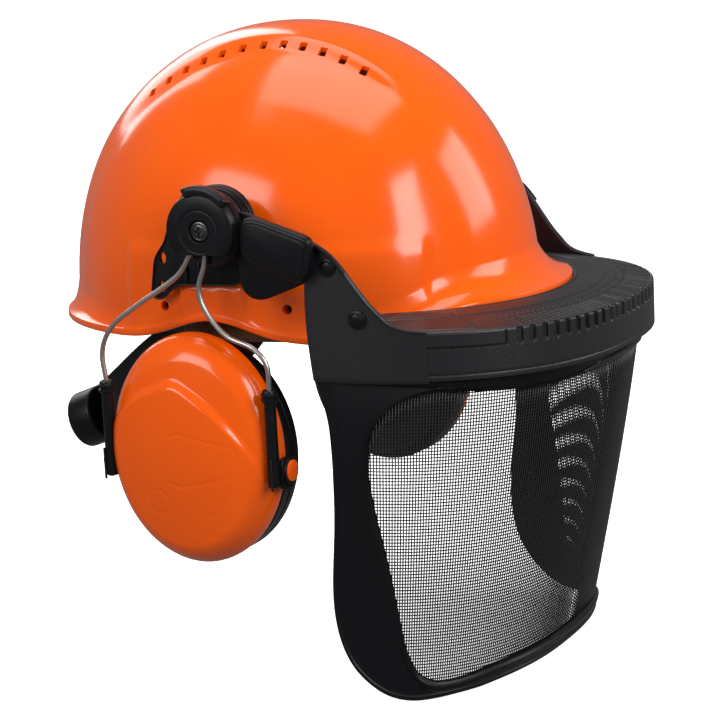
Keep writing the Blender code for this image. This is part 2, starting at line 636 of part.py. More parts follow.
def make_visor(joint):
    top_bar, low_bar = 0.035, 0.955

    def frame(shape):
        """A frame round the window: four strips of the curved visor, sharing their corners."""
        drops = [top_bar + (low_bar - top_bar) * i / 10 for i in range(11)]
        shares = [-1.0 + 2.0 * i / 24 for i in range(25)]

        def outer_loop(inset):
            half = math.pi / 2
            top = [visor_point(half * s, 0.0, inset) for s in shares]
            right = [visor_point(half, d, inset) for d in drops]
            low = [visor_point(half * s, 1.0, inset) for s in reversed(shares)]
            left = [visor_point(-half, d, inset) for d in reversed(drops)]
            return top + right + low + left

        def window_loop(inset):
            top = [visor_point(window_bearing(0.0) * s, top_bar, inset) for s in shares]
            right = [visor_point(window_bearing(d) * 0.9995, d + 1e-4, inset) for d in drops]
            low = [visor_point(window_bearing(1.0) * s, low_bar, inset) for s in reversed(shares)]
            left = [visor_point(-window_bearing(d) * 0.9995, d + 1e-4, inset) for d in reversed(drops)]
            right[0] = tuple(Vector(right[0]).lerp(Vector(right[1]), 0.05))
            left[-1] = tuple(Vector(left[-1]).lerp(Vector(left[-2]), 0.05))
            right[-1] = tuple(Vector(right[-1]).lerp(Vector(low[0]), 0.5))
            left[0] = tuple(Vector(left[0]).lerp(Vector(low[-1]), 0.5))
            return top + right + low + left
        loft(shape, [outer_loop(0.0), window_loop(0.0), window_loop(VISOR_WALL), outer_loop(VISOR_WALL)],
             closed_loop=True)
    mesh_object("visor_frame", frame, matte_black(), joint)

    def panel(shape):
        edge = 0.4 / (VISOR_TOP - VISOR_LOW)
        rows, columns = 10, 16
        grids = []
        for inset in (1.5, 1.5 + MESH_WALL):
            grid = []
            for i in range(rows + 1):
                drop = top_bar + edge + (low_bar - top_bar - 2 * edge) * i / rows
                half = window_bearing(drop) - 0.009
                grid.append([visor_point(half * (-1 + 2 * j / columns), drop, inset) for j in range(columns + 1)])
            grids.append(grid)
        front, back = ([[shape.verts.new(p) for p in row] for row in grid] for grid in grids)
        for i in range(rows):
            for j in range(columns):
                shape.faces.new((front[i][j], front[i][j + 1], front[i + 1][j + 1], front[i + 1][j]))
                shape.faces.new((back[i][j], back[i + 1][j], back[i + 1][j + 1], back[i][j + 1]))

        def border(grid):
            return (grid[0] + [row[-1] for row in grid[1:]] + grid[-1][-2::-1]
                    + [row[0] for row in grid[-2:0:-1]])
        front_edge, back_edge = border(front), border(back)
        for i in range(len(front_edge)):
            j = (i + 1) % len(front_edge)
            shape.faces.new((front_edge[i], front_edge[j], back_edge[j], back_edge[i]))
    mesh_object("visor_mesh", panel, material("black_wire_mesh", BLACK, 0.5, 0.6), joint)


def main():
    clear_scene()
    helmet = joint_empty("helmet_frame", 0.0, 0.0, 0.0)
    visor = joint_empty("visor_lift_axis", 0.0, HUB_Y, HUB_Z)
    nape = joint_empty("nape_slide_axis", 0.0, NAPE_REAR, NAPE_Z)
    knob = joint_empty("ratchet_axis", 0.0, NAPE_REAR, NAPE_Z)
    make_shell()
    make_headband()
    make_sweatband()
    make_clips()
    make_crown_straps()
    make_nape_band(nape)
    make_ratchet(nape, knob)
    make_brow_guard(visor)
    make_visor(visor)
    for name, side in SIDES.items():
        turn = joint_empty(f"muff_turn_axis_{name}", side * WIRE_X, HUB_Y, HUB_Z)
        swing = joint_empty(f"muff_swing_axis_{name}", side * WIRE_X, 7.0, 41.0)
        slide = joint_empty(f"cup_slide_axis_{name}", side * WIRE_X, CUP_Y, PIVOT_Z)
        tilt = joint_empty(f"cup_tilt_axis_{name}", side * PIVOT_X, CUP_Y, PIVOT_Z)
        make_hub(name, side, helmet, visor, turn)
        make_rivets(name, side, visor)
        make_muff(name, side, swing, slide, tilt)


main()
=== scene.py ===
import json
import math

import bmesh
import bpy
import numpy as np
from mathutils import Matrix, Vector


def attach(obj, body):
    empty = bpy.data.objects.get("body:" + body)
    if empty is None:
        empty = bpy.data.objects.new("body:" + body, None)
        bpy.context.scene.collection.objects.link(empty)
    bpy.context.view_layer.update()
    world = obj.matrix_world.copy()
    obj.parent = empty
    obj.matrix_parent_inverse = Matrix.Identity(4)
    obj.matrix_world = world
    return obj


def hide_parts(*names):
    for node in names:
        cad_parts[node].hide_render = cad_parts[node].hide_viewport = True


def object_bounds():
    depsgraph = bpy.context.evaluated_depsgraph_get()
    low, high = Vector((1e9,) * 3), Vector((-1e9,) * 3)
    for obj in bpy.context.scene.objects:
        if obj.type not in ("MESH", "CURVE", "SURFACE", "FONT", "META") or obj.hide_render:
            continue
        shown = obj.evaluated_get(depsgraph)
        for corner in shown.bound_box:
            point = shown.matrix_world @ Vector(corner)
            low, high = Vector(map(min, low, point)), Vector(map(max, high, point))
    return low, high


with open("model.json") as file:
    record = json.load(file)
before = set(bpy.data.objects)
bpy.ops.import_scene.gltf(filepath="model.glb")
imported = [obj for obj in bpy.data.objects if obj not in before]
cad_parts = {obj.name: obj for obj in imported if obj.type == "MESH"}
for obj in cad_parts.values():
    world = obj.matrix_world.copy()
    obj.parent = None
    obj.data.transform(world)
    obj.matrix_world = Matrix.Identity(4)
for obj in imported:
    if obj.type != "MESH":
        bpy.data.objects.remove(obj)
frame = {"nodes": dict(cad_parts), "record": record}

# Builders below work in millimetres and pass through MM. -X is the wearer's right, -Y forward, +Z up.
MM = 0.001
CAD_BOX = [[float(value) for value in corner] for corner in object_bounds()]
SIDES = {"right": -1, "left": 1}

# Shell
DOME_Y, DOME_A, DOME_FRONT, DOME_REAR, DOME_HEIGHT = 13.5, 104.5, 125.0, 127.0, 141.6
PLAN_POWER, RISE_POWER, SHELL_WALL = 2.1, 2.09, 3.2
RIM_A, RIM_FRONT, RIM_REAR, RIM_LIP = 107.0, 143.0, 132.5, 3.8
SHELL_COLUMNS, SHELL_ROWS, INNER_ROWS = 480, 104, 44
STEP_DEPTH, PAD_HEIGHT, BLOCK_HEIGHT = 3.4, 1.5, 1.1
VENTS_Y = (75.0, 65.0, 55.0, 45.0, 35.0, 24.0, 12.7, 1.7, -9.3, -20.7, -32.0, -43.6)
VENT_LENGTH, VENT_WIDTH = 4.0, 4.8
SHELL_HOLES = ((39.5, 8.8), (-28.0, 9.0))

# Suspension
BAND_Y, BAND_A, BAND_B = 8.0, 81.0, 99.0
NAPE_REAR, NAPE_TILT = (0.0, 128.0, -68.0), math.radians(20.0)
CLIP_TURNS = {"front": -90, "front_left": -32, "rear_left": 34, "rear": 90, "rear_right": 146,
              "front_right": -148}

# Hub, guard and visor
HUB_Y, HUB_Z = 1.0, 51.5
GUARD_A, GUARD_Y, GUARD_REACH, GUARD_POWER = 118.5, -48.0, 120.5, 2.4
GUARD_TOP, GUARD_LOW = 2.5, -21.5
FLUTE_PITCH, FLUTE_START, FLUTE_HALF = 7.0, -41.3, 1.5
VISOR_TOP, VISOR_LOW = -22.1, -188.0
VISOR_EDGE = ((0.0, 90.0), (0.05, 89.3), (0.13, 88.3), (0.24, 88.0), (0.37, 88.1), (0.45, 88.4), (0.54, 89.0),
              (0.62, 89.5), (0.70, 89.6), (0.77, 89.1), (0.83, 87.8), (0.88, 85.4), (0.92, 81.6),
              (0.957, 76.0), (0.974, 70.5), (0.981, 64.5), (0.978, 57.0), (0.972, 49.0), (0.968, 40.0))
WINDOW = ((0.020, 60.0), (0.030, 66.5), (0.044, 70.6), (0.070, 74.0), (0.110, 77.1), (0.150, 78.8),
          (0.20, 79.5), (0.29, 79.8), (0.41, 77.8), (0.565, 74.2), (0.705, 71.2), (0.82, 68.5),
          (0.895, 64.4), (0.925, 58.6), (0.927, 52.0), (0.922, 45.0))
VISOR_A, VISOR_REACH, VISOR_REAR = 117.6, 111.5, -49.5
VISOR_SILL, WINDOW_SILL, WINDOW_BROW, OUTLINE_STEPS, FRONT_STEPS = 0.958, 0.9, 0.03, 90, 163
MESH_PITCH, MESH_WIRE, UPRIGHT_INSET, LEVEL_INSET = 1.6, 0.36, 1.75, 2.25

# Ear cups
CUP_Y, CUP_Z, CUP_B, CUP_C = 19.0, -60.0, 47.0, 58.3
PLATE_Z, PLATE_C, PLATE_HOLE = -62.5, 55.0, (24.0, 33.0)
PIVOT_X, PIVOT_Z, WIRE_X = 114.5, -68.0, 123.9
SLEEVES = {"front": (-28.4, -1), "rear": (66.4, 1)}

# Camera and floor, in metres
CAMERA_PLACE, CAMERA_LENS = (-1.133907, -0.589265, 0.225585), 124.5
CAMERA_FORWARD, CAMERA_UP = (0.87308, 0.44435, -0.20077), (0.17811, 0.03374, 0.98343)
FLOOR_RADIUS, FLOOR_GAP = 12.0, 0.004

BODY_OF = {node: body for body, nodes in frame["record"]["behaviour"]["bodies"].items() for node in nodes}
SLOT_OF = {part["node"]: part["material_slot"] for part in frame["record"]["subparts"]}


def smooth(low, high, value):
    t = np.clip((np.asarray(value, float) - low) / (high - low), 0.0, 1.0)
    return t * t * (3 - 2 * t)


# ---------------------------------------------------------------- materials

def add(tree, kind, inputs=(), **settings):
    made = tree.nodes.new(kind)
    for key, value in settings.items():
        setattr(made, key, value)
    for key, value in dict(inputs).items():
        if isinstance(value, bpy.types.NodeSocket):
            tree.links.new(value, made.inputs[key])
        else:
            made.inputs[key].default_value = value
    return made


def maths(tree, operation, first, second=0.0, clamp=False):
    return add(tree, "ShaderNodeMath", {0: first, 1: second}, operation=operation, use_clamp=clamp).outputs[0]


def ranged(tree, value, low, high, to_low, to_high):
    return add(tree, "ShaderNodeMapRange", {"Value": value, "From Min": low, "From Max": high,
                                            "To Min": to_low, "To Max": to_high}).outputs["Result"]


def blended(tree, factor, first, second):
    made = tree.nodes.new("ShaderNodeMix")
    made.data_type = "RGBA"
    tree.links.new(factor, made.inputs["Factor"])
    for socket, value in ((made.inputs[6], first), (made.inputs[7], second)):
        if isinstance(value, bpy.types.NodeSocket):
            tree.links.new(value, socket)
        else:
            socket.default_value = (*value, 1.0)
    return made.outputs[2]


def noise(tree, coords, scale, detail=3.0, stretch=None):
    if stretch is not None:
        coords = add(tree, "ShaderNodeMapping", {"Vector": coords, "Scale": stretch}).outputs["Vector"]
    values = {"Vector": coords, "Scale": scale, "Detail": detail}
    return add(tree, "ShaderNodeTexNoise", values).outputs["Fac"]


def surface(name, base, shade, edge, rough, spread=0.1, grain=900.0, relief=0.15, depth=0.0001, metallic=0.0,
            coat=0.0, sheen=0.0, patch=22.0, scuffs=0.1, specular=0.5, pattern=None):
    """A moulded or woven finish: drifting tone, worn edges, fine scuffs in the gloss, and a fine grain.
    pattern(tree, coords) gives a height from 0 to 1 for weave or leather, and its hollows get painted shade:
    their colour is darkened."""
    mat = bpy.data.materials.new(name)
    mat.use_nodes = True
    tree = mat.node_tree
    shader = tree.nodes["Principled BSDF"]
    coords = add(tree, "ShaderNodeTexCoord").outputs["Object"]
    drift = noise(tree, coords, patch, 4.0)
    fine = noise(tree, coords, grain, 2.0)
    scratch = noise(tree, coords, 60.0, 3.0, (1.0, 9.0, 2.4))
    mark = ranged(tree, scratch, 0.62, 0.7, 0.0, 1.0)
    colour = blended(tree, ranged(tree, drift, 0.35, 0.68, 0.0, 1.0), base, shade)
    colour = blended(tree, ranged(tree, fine, 0.3, 0.75, 0.0, 0.35), colour, shade)
    point = add(tree, "ShaderNodeNewGeometry").outputs["Pointiness"]
    colour = blended(tree, ranged(tree, point, 0.53, 0.62, 0.0, 0.55), colour, edge)
    height = fine
    if pattern is not None:
        height = pattern(tree, coords)
        # Painted shade: the pattern's hollows are darkened towards a third of the dark tone.
        colour = blended(tree, ranged(tree, height, 0.0, 0.5, 0.6, 0.0), colour,
                         tuple(0.35 * channel for channel in shade))
    tree.links.new(colour, shader.inputs["Base Color"])
    gloss = maths(tree, "ADD", ranged(tree, drift, 0.3, 0.7, rough - spread / 2, rough + spread / 2),
                  maths(tree, "MULTIPLY", mark, scuffs))
    tree.links.new(gloss, shader.inputs["Roughness"])
    bump = add(tree, "ShaderNodeBump", {"Strength": relief, "Distance": depth, "Height": height})
    tree.links.new(bump.outputs["Normal"], shader.inputs["Normal"])
    shader.inputs["Metallic"].default_value = metallic
    shader.inputs["Specular IOR Level"].default_value = specular
    shader.inputs["Coat Weight"].default_value = coat
    shader.inputs["Coat Roughness"].default_value = 0.12
    shader.inputs["Sheen Weight"].default_value = sheen
    return mat


def weave_height(scale):
    def build(tree, coords):
        waves = [add(tree, "ShaderNodeTexWave", {"Vector": coords, "Scale": scale, "Distortion": 0.6,
                                                 "Detail": 1.0}, bands_direction=way).outputs["Fac"]
                 for way in ("X", "Y")]
        return maths(tree, "MULTIPLY", waves[0], waves[1])
    return build


def pebble_height(scale):
    def build(tree, coords):
        cells = add(tree, "ShaderNodeTexVoronoi", {"Vector": coords, "Scale": scale},
                    feature="DISTANCE_TO_EDGE")
        return ranged(tree, cells.outputs["Distance"], 0.0, 0.35, 0.0, 1.0)
    return build


LOOKS = {
    "orange_plastic": surface("gloss_orange_shell", (0.97, 0.118, 0.0), (0.93, 0.104, 0.0),
                              (0.98, 0.16, 0.008), 0.17, 0.06, 520.0, 0.06, 0.0002, coat=0.2, scuffs=0.06,
                              specular=0.4),
    "black_plastic": surface("satin_black_plastic", (0.0055, 0.005, 0.0075), (0.003, 0.003, 0.0045),
                             (0.022, 0.022, 0.026), 0.36, 0.1, 1700.0, 0.3, 0.00015, scuffs=0.06,
                             specular=0.22),
    "guard_plastic": surface("fine_grained_black_guard", (0.010, 0.010, 0.0125), (0.007, 0.007, 0.009),
                             (0.03, 0.03, 0.034), 0.4, 0.08, 1500.0, 0.5, 0.0002, scuffs=0.06, specular=0.5),
    # The leather, webbing, cushion foil and foam finishes below carry painted shade in the hollows of their
    # pattern.
    "tan_leather": surface("tan_sweatband_leather", (0.32, 0.115, 0.045), (0.22, 0.07, 0.026),
                           (0.42, 0.19, 0.09), 0.62, 0.14, 700.0, 0.5, 0.0004, sheen=0.1,
                           pattern=pebble_height(620.0)),
    "grey_webbing": surface("grey_webbing_weave", (0.36, 0.36, 0.37), (0.24, 0.24, 0.25), (0.5, 0.5, 0.5),
                            0.85, 0.1, 800.0, 0.7, 0.0005, sheen=0.3, pattern=weave_height(260.0)),
    "cushion_skin": surface("black_cushion_foil", (0.009, 0.009, 0.011), (0.005, 0.005, 0.0065),
                            (0.03, 0.03, 0.03), 0.5, 0.14, 900.0, 0.4, 0.0003, specular=0.35,
                            pattern=pebble_height(900.0)),
    "grey_foam": surface("open_cell_foam", (0.07, 0.07, 0.075), (0.035, 0.035, 0.04), (0.12, 0.12, 0.12),
                         0.95, 0.05, 900.0, 0.9, 0.0006, pattern=pebble_height(1100.0)),
    "wire_mesh": surface("black_painted_wire", (0.012, 0.012, 0.015), (0.006, 0.006, 0.008),
                         (0.04, 0.04, 0.04), 0.34, 0.1, 2500.0, 0.1, 0.00005, specular=0.4),
    "spring_steel": surface("bright_spring_steel", (0.5, 0.48, 0.46), (0.4, 0.39, 0.38), (0.6, 0.6, 0.59),
                            0.34, 0.1, 1400.0, 0.1, 0.0001, metallic=1.0, scuffs=0.15),
    "spring_thread": surface("pale_thread", (0.7, 0.7, 0.68), (0.55, 0.55, 0.54), (0.8, 0.8, 0.8), 0.8, 0.1,
                             1500.0, 0.3, 0.0001),
    "dark_screw": surface("dark_zinc_screw", (0.10, 0.10, 0.105), (0.05, 0.05, 0.055), (0.3, 0.3, 0.3), 0.34,
                          0.12, 1200.0, 0.2, 0.0001, metallic=0.9),
}


# ---------------------------------------------------------------- mesh helpers

def grid_faces(rows, columns, wrap=False, ring=False, start=0):
    """Quads over a grid of points; wrap joins its last column to its first, and ring its last row."""
    index = np.arange(rows * columns).reshape(rows, columns) + start
    if ring:
        index = np.vstack([index, index[:1]])
    right = np.roll(index, -1, axis=1) if wrap else index[:, 1:]
    left = index if wrap else index[:, :-1]
    return np.stack([left[:-1], right[:-1], right[1:], left[1:]], -1).reshape(-1, 4).tolist()


def capped(rows):
    """A skin over rows of points, each row a loop, with the first and last rows closed."""
    rows = np.array(rows, float)
    height, count = rows.shape[:2]
    ends = [list(range(count)), list(range((height - 1) * count, height * count))]
    return rows, grid_faces(height, count, wrap=True) + ends


def looped(rows):
    """A skin over rows of points whose last row joins its first."""
    rows = np.array(rows, float)
    return rows, grid_faces(*rows.shape[:2], wrap=True, ring=True)


def mesh_of(name, points, faces, sharp=40.0):
    data = bpy.data.meshes.new(name)
    data.from_pydata((np.asarray(points, float).reshape(-1, 3) * MM).tolist(), [], faces)
    shape = bmesh.new()
    shape.from_mesh(data)
    bmesh.ops.recalc_face_normals(shape, faces=shape.faces)
    shape.to_mesh(data)
    shape.free()
    data.shade_smooth()
    if sharp is not None:
        data.set_sharp_from_angle(angle=math.radians(sharp))
    return data


def bevel(obj, width, segments=3, angle=30.0):
    step = obj.modifiers.new("Bevel", "BEVEL")
    step.width = width * MM
    step.segments = segments
    step.limit_method = "ANGLE"
    step.angle_limit = math.radians(angle)
    step.harden_normals = True
    return obj


def cut(obj, parts, sharp):
    """Cuts helper shapes out of a piece, applies the result and marks its edges sharper than an angle."""
    helper = bpy.data.objects.new(f"{obj.name}_cutter", join_data(f"{obj.name}_cutter", parts))
    bpy.context.scene.collection.objects.link(helper)
    step = obj.modifiers.new("Cut", "BOOLEAN")
    step.operation = "DIFFERENCE"
    step.solver = "EXACT"
    step.object = helper
    graph = bpy.context.evaluated_depsgraph_get()
    shaped = bpy.data.meshes.new_from_object(obj.evaluated_get(graph))
    obj.modifiers.remove(step)
    obj.data = shaped
    obj.data.set_sharp_from_angle(angle=math.radians(sharp))
    bpy.data.objects.remove(helper)


def piece(name, data, *nodes, look=None, body=None, slot=None):
    """An object that stands for CAD nodes, or an addition that rides with them."""
    slot_name = slot or SLOT_OF[nodes[0]]
    obj = bpy.data.objects.new(name, data)
    bpy.context.scene.collection.objects.link(obj)
    data.materials.clear()
    data.materials.append(LOOKS[look or slot_name])
    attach(obj, body or BODY_OF[nodes[0]])
    if nodes:
        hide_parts(*nodes)
    return obj


def join_data(name, parts, sharp=40.0):
    """One mesh from (points, faces) parts, which stay separate shells inside it."""
    points, faces, start = [], [], 0
    for part_points, part_faces in parts:
        part_points = np.asarray(part_points, float).reshape(-1, 3)
        points.append(part_points)
        faces += [[corner + start for corner in face] for face in part_faces]
        start += len(part_points)
    return mesh_of(name, np.vstack(points), faces, sharp)


def circle(count):
    return np.arange(count) * 2 * math.pi / count


def turned_rows(profile, origin, axis, count):
    """Turns (radius, distance) pairs about an axis, one row for each."""
    axis = Vector(axis).normalized()
    side = axis.orthogonal().normalized()
    other = axis.cross(side)
    return [[Vector(origin) + axis * distance + side * radius * math.cos(t) + other * radius * math.sin(t)
             for t in circle(count)] for radius, distance in profile]


def lathe(profile, origin, axis, count=64):
    """A turned shape, capped at both ends."""
    return capped(turned_rows(profile, origin, axis, count))


def lathe_ring(profile, origin, axis, count=64):
    """A turned shape whose profile is a closed loop."""
    return looped(turned_rows(profile, origin, axis, count))


def box_outline(a_low, a_high, b_low, b_high):
    return [(a_low, b_low), (a_high, b_low), (a_high, b_high), (a_low, b_high)]


def rounded(outline, radius, steps=5):
    """An outline with each corner replaced by an arc-like curve."""
    result = []
    count = len(outline)
    for i in range(count):
        before, here, after = (np.array(outline[(i + k) % count], float) for k in (-1, 0, 1))
        reach_in = min(radius, np.linalg.norm(before - here) * 0.45)
        reach_out = min(radius, np.linalg.norm(after - here) * 0.45)
        start = here + (before - here) / np.linalg.norm(before - here) * reach_in
        end = here + (after - here) / np.linalg.norm(after - here) * reach_out
        for k in range(steps + 1):
            t = k / steps
            result.append(tuple((1 - t) ** 2 * start + 2 * t * (1 - t) * here + t * t * end))
    return result


def slab(outline, x_low, x_high, edge=0.8, steps=3):
    """A plate across X with the outline (y, z) and rounded rims on both faces."""
    ring = np.array(outline, float)
    area = np.sum(ring[:, 0] * np.roll(ring[:, 1], -1) - np.roll(ring[:, 0], -1) * ring[:, 1])
    before, after = np.roll(ring, 1, axis=0), np.roll(ring, -1, axis=0)
    along = after - before
    along /= np.maximum(np.linalg.norm(along, axis=1, keepdims=True), 1e-9)
    inward = np.stack([-along[:, 1], along[:, 0]], 1) * (1 if area > 0 else -1)
    rims = [(edge * (1 - math.sin(math.pi / 2 * k / steps)), edge * (1 - math.cos(math.pi / 2 * k / steps)))
            for k in range(steps + 1)]
    rows = [(x_low + rise, inset) for inset, rise in rims]
    rows += [(x_high - rise, inset) for inset, rise in reversed(rims)]
    return capped([np.column_stack([np.full(len(ring), x), ring + inward * inset]) for x, inset in rows])


def sweep(path, radius, sides=16):
    """A tube along a path; radius is a number or one per point."""
    path = [Vector(p) for p in path]
    radii = [radius] * len(path) if isinstance(radius, (int, float)) else radius
    end = len(path) - 1
    tangents = [(path[min(i + 1, end)] - path[max(i - 1, 0)]).normalized() for i in range(len(path))]
    side = tangents[0].orthogonal().normalized()
    rows = []
    for point, tangent, reach in zip(path, tangents, radii):
        side = (side - tangent * side.dot(tangent)).normalized()
        other = tangent.cross(side)
        rows.append([point + (side * math.cos(t) + other * math.sin(t)) * reach for t in circle(sides)])
    return capped(rows)


def spline(points, per_span=8):
    """A Catmull-Rom curve through points."""
    ends = [points[0]] + list(points) + [points[-1]]
    path = []
    for a, b, c, d in zip(ends, ends[1:], ends[2:], ends[3:]):
        a, b, c, d = map(Vector, (a, b, c, d))
        for k in range(per_span):
            t = k / per_span
            path.append(0.5 * (2 * b + (c - a) * t + (2 * a - 5 * b + 4 * c - d) * t * t
                               + (3 * b - a - 3 * c + d) * t ** 3))
    return path + [Vector(points[-1])]


def from_cad(node, name, width, look=None):
    """A CAD solid's own shape with its edges rounded."""
    shape = bmesh.new()
    shape.from_mesh(frame["nodes"][node].data)
    bmesh.ops.remove_doubles(shape, verts=shape.verts, dist=1e-6)
    bmesh.ops.dissolve_limit(shape, angle_limit=math.radians(2), verts=shape.verts, edges=shape.edges)
    data = bpy.data.meshes.new(name)
    shape.to_mesh(data)
    shape.free()
    data.shade_smooth()
    return bevel(piece(name, data, node, look=look), width)


# ---------------------------------------------------------------- shell

def plan_radius(turn, a, front, rear):
    half = np.where(np.sin(turn) < 0, front, rear)
    powers = np.abs(np.cos(turn) / a) ** PLAN_POWER + np.abs(np.sin(turn) / half) ** PLAN_POWER
    return powers ** (-1 / PLAN_POWER)


def dome_point(turn, z, wall=0.0):
    height = DOME_HEIGHT - wall
    z = np.broadcast_to(z, np.shape(turn)).astype(float)
    scale = np.maximum(0.0, 1 - (np.maximum(z, 0) / height) ** RISE_POWER) ** (1 / RISE_POWER)
    reach = scale * plan_radius(turn, DOME_A - wall, DOME_FRONT - wall, DOME_REAR - wall)
    return np.stack([reach * np.cos(turn), DOME_Y + reach * np.sin(turn), z], -1)


def dome_normal(points):
    x, y, z = points[..., 0], points[..., 1] - DOME_Y, np.maximum(points[..., 2], 0.0)
    half = np.where(y < 0, DOME_FRONT, DOME_REAR)
    out = np.stack([np.sign(x) * np.abs(x / DOME_A) ** (PLAN_POWER - 1) / DOME_A,
                    np.sign(y) * np.abs(y / half) ** (PLAN_POWER - 1) / half,
                    (z / DOME_HEIGHT) ** (RISE_POWER - 1) / DOME_HEIGHT], -1)
    return out / np.linalg.norm(out, axis=-1, keepdims=True)


def rim_point(turn, z):
    reach = plan_radius(turn, RIM_A, RIM_FRONT, RIM_REAR)
    return np.stack([reach * np.cos(turn), DOME_Y + reach * np.sin(turn),
                     np.broadcast_to(z, np.shape(turn)).astype(float)], -1)


def rim_low(turn):
    y = rim_point(turn, 0.0)[..., 1]
    return -9.0 + 11.5 * np.exp(-((y - 13.0) / 30.0) ** 2) + 13.0 * smooth(60.0, 115.0, -y)


def crest_x(y):
    return 30.0 + 4.0 * smooth(0.0, 60.0, y)


def foot_x(y):
    return 34.5 + 3.5 * smooth(-80.0, -35.0, y) + 17.0 * smooth(-10.0, 80.0, y)


def step_down(points):
    """How far the shell's flanks lie below its raised middle."""
    x, y = np.abs(points[..., 0]), points[..., 1]
    t = np.clip((x - crest_x(y)) / (foot_x(y) - crest_x(y)), 0.0, 1.0)
    t = 0.45 * t + 0.55 * t * t * (3 - 2 * t)
    return STEP_DEPTH * t * smooth(-80.0, -45.0, y) * (1 - smooth(70.0, 98.0, x))


def side_relief(points):
    """Raised pads on the flanks, with a plain block and the field in front of it standing on them."""
    x, y, z = np.abs(points[..., 0]), points[..., 1], points[..., 2]
    pad = smooth(-88.0, -84.0, y) * (1 - smooth(62.5, 66.5, y)) * (1 - smooth(33.0, 42.0, z))
    block = smooth(-6.6, -5.4, y) * (1 - smooth(28.6, 29.8, y)) * (1 - smooth(19.2, 20.6, z))
    field = (1 - smooth(-12.2, -11.0, y)) * smooth(-50.0, -44.0, y) * (1 - smooth(18.0, 22.0, z))
    sides = smooth(80.0, 90.0, x)
    return PAD_HEIGHT * pad + sides * (BLOCK_HEIGHT * block + 0.7 * field)


def make_shell():
    turn = circle(SHELL_COLUMNS)
    low = rim_low(turn)
    wall_start = low + RIM_LIP + 6.0 + 9.0 * np.sin(turn) ** 2
    wall_height = DOME_HEIGHT - wall_start
    outer = np.array([dome_point(turn, wall_start + wall_height * math.sin(share * math.pi / 2))
                      for share in np.linspace(0.997, 0.0, SHELL_ROWS)])
    outer = outer + dome_normal(outer) * (side_relief(outer) - step_down(outer))[..., None]
    wall, rim = outer[-1], rim_point(turn, low + RIM_LIP)
    knee = wall + (rim - wall) * 0.3
    knee[:, 2] = rim[:, 2] + 0.12 * (wall[:, 2] - rim[:, 2])
    flare = [t * t * wall + 2 * t * (1 - t) * knee + (1 - t) ** 2 * rim for t in np.linspace(0.92, 0.0, 12)]
    inside = dome_point(turn, low, SHELL_WALL)
    direction = rim - inside
    direction[:, 2] = 0
    direction /= np.linalg.norm(direction, axis=1, keepdims=True)

    def edge_row(start, outset, rise):
        point = start + direction * outset
        point[:, 2] = low + rise
        return point

    lip = [edge_row(rim, *at) for at in ((0.25, 3.0), (0.3, 1.6), (0.2, 0.8), (-0.1, 0.25), (-0.8, 0.0))]
    under = [edge_row(inside, *at) for at in ((0.9, 0.0), (0.3, 0.2), (0.0, 0.8))]
    crown = DOME_HEIGHT - SHELL_WALL
    inner = np.array([dome_point(turn, low + (crown - low) * math.sin(share * math.pi / 2), SHELL_WALL)
                      for share in np.linspace(0.02, 0.995, INNER_ROWS)])
    inner = inner - dome_normal(inner) * (step_down(inner) * smooth(18.0, 34.0, inner[..., 2]))[..., None]
    grid = np.concatenate([outer, flare, lip, under, inner])
    points = np.vstack([grid.reshape(-1, 3), [[0.0, DOME_Y, DOME_HEIGHT], [0.0, DOME_Y, crown]]])
    faces = grid_faces(len(grid), SHELL_COLUMNS, wrap=True)
    top, bottom = len(points) - 2, len(points) - 1
    last = (len(grid) - 1) * SHELL_COLUMNS
    for i in range(SHELL_COLUMNS):
        j = (i + 1) % SHELL_COLUMNS
        faces.append([j, i, top])
        faces.append([last + i, last + j, bottom])
    shell = piece("shell_skin", mesh_of("shell_skin", points, faces, 38.0), "shell")
    cutters = []
    for side in SIDES.values():
        for y in VENTS_Y:
            x = side * (crest_x(y) + 0.62 * (foot_x(y) - crest_x(y)))
            half = DOME_FRONT if y < DOME_Y else DOME_REAR
            plan = abs(x / DOME_A) ** PLAN_POWER + abs((y - DOME_Y) / half) ** PLAN_POWER
            z = DOME_HEIGHT * (1 - plan ** (RISE_POWER / PLAN_POWER)) ** (1 / RISE_POWER)
            centre = np.array([x, y, z])
            out = dome_normal(centre)
            along = np.array([0.0, 1.0, 0.0]) - out * out[1]
            along /= np.linalg.norm(along)
            across = np.cross(along, out)
            corners = rounded(box_outline(-VENT_LENGTH / 2, VENT_LENGTH / 2, -VENT_WIDTH / 2, VENT_WIDTH / 2),
                              0.7, 3)
            cutters.append(capped([[centre + out * k + along * a + across * b for a, b in corners]
                                   for k in (-11, 7)]))
        for y, z in SHELL_HOLES:
            cutters.append(lathe([(2.5, 88.0), (2.5, 112.0)], (0.0, y, z), (side, 0, 0), 24))
    cut(shell, cutters, 38)


# ---------------------------------------------------------------- suspension

def band_point(turn, outset, z):
    return np.stack([(BAND_A + outset) * np.cos(turn), BAND_Y + (BAND_B + outset) * np.sin(turn),
                     np.broadcast_to(z, np.shape(turn)).astype(float)], -1)


def make_headband():
    turn = circle(180)
    section = ((-2.0, -10.4), (-1.6, -11.0), (-0.4, -11.0), (0.0, -10.4), (0.0, -4.0), (0.35, -3.4),
               (0.35, -2.4), (0.0, -1.8), (0.0, 9.0), (0.35, 9.6), (0.35, 10.6), (0.0, 11.2), (0.0, 16.4),
               (-0.4, 17.0), (-1.6, 17.0), (-2.0, 16.4))
    rows = [band_point(turn, out, z) for out, z in section]
    band = piece("headband_strip", mesh_of("headband_strip", *looped(rows)), "headband")
    slots = []
    for i in range(14):
        for sign in (-1, 1):
            angle = math.pi / 2 + sign * math.radians(12.0 + 4.2 * i) * 0.8
            centre = band_point(np.array(angle), -1.0, 3.2)
            out = Vector((math.cos(angle), math.sin(angle), 0))
            slots.append(lathe([(1.5, -3.0), (1.5, 3.0)], centre, out, 12))
    cut(band, slots, 35)


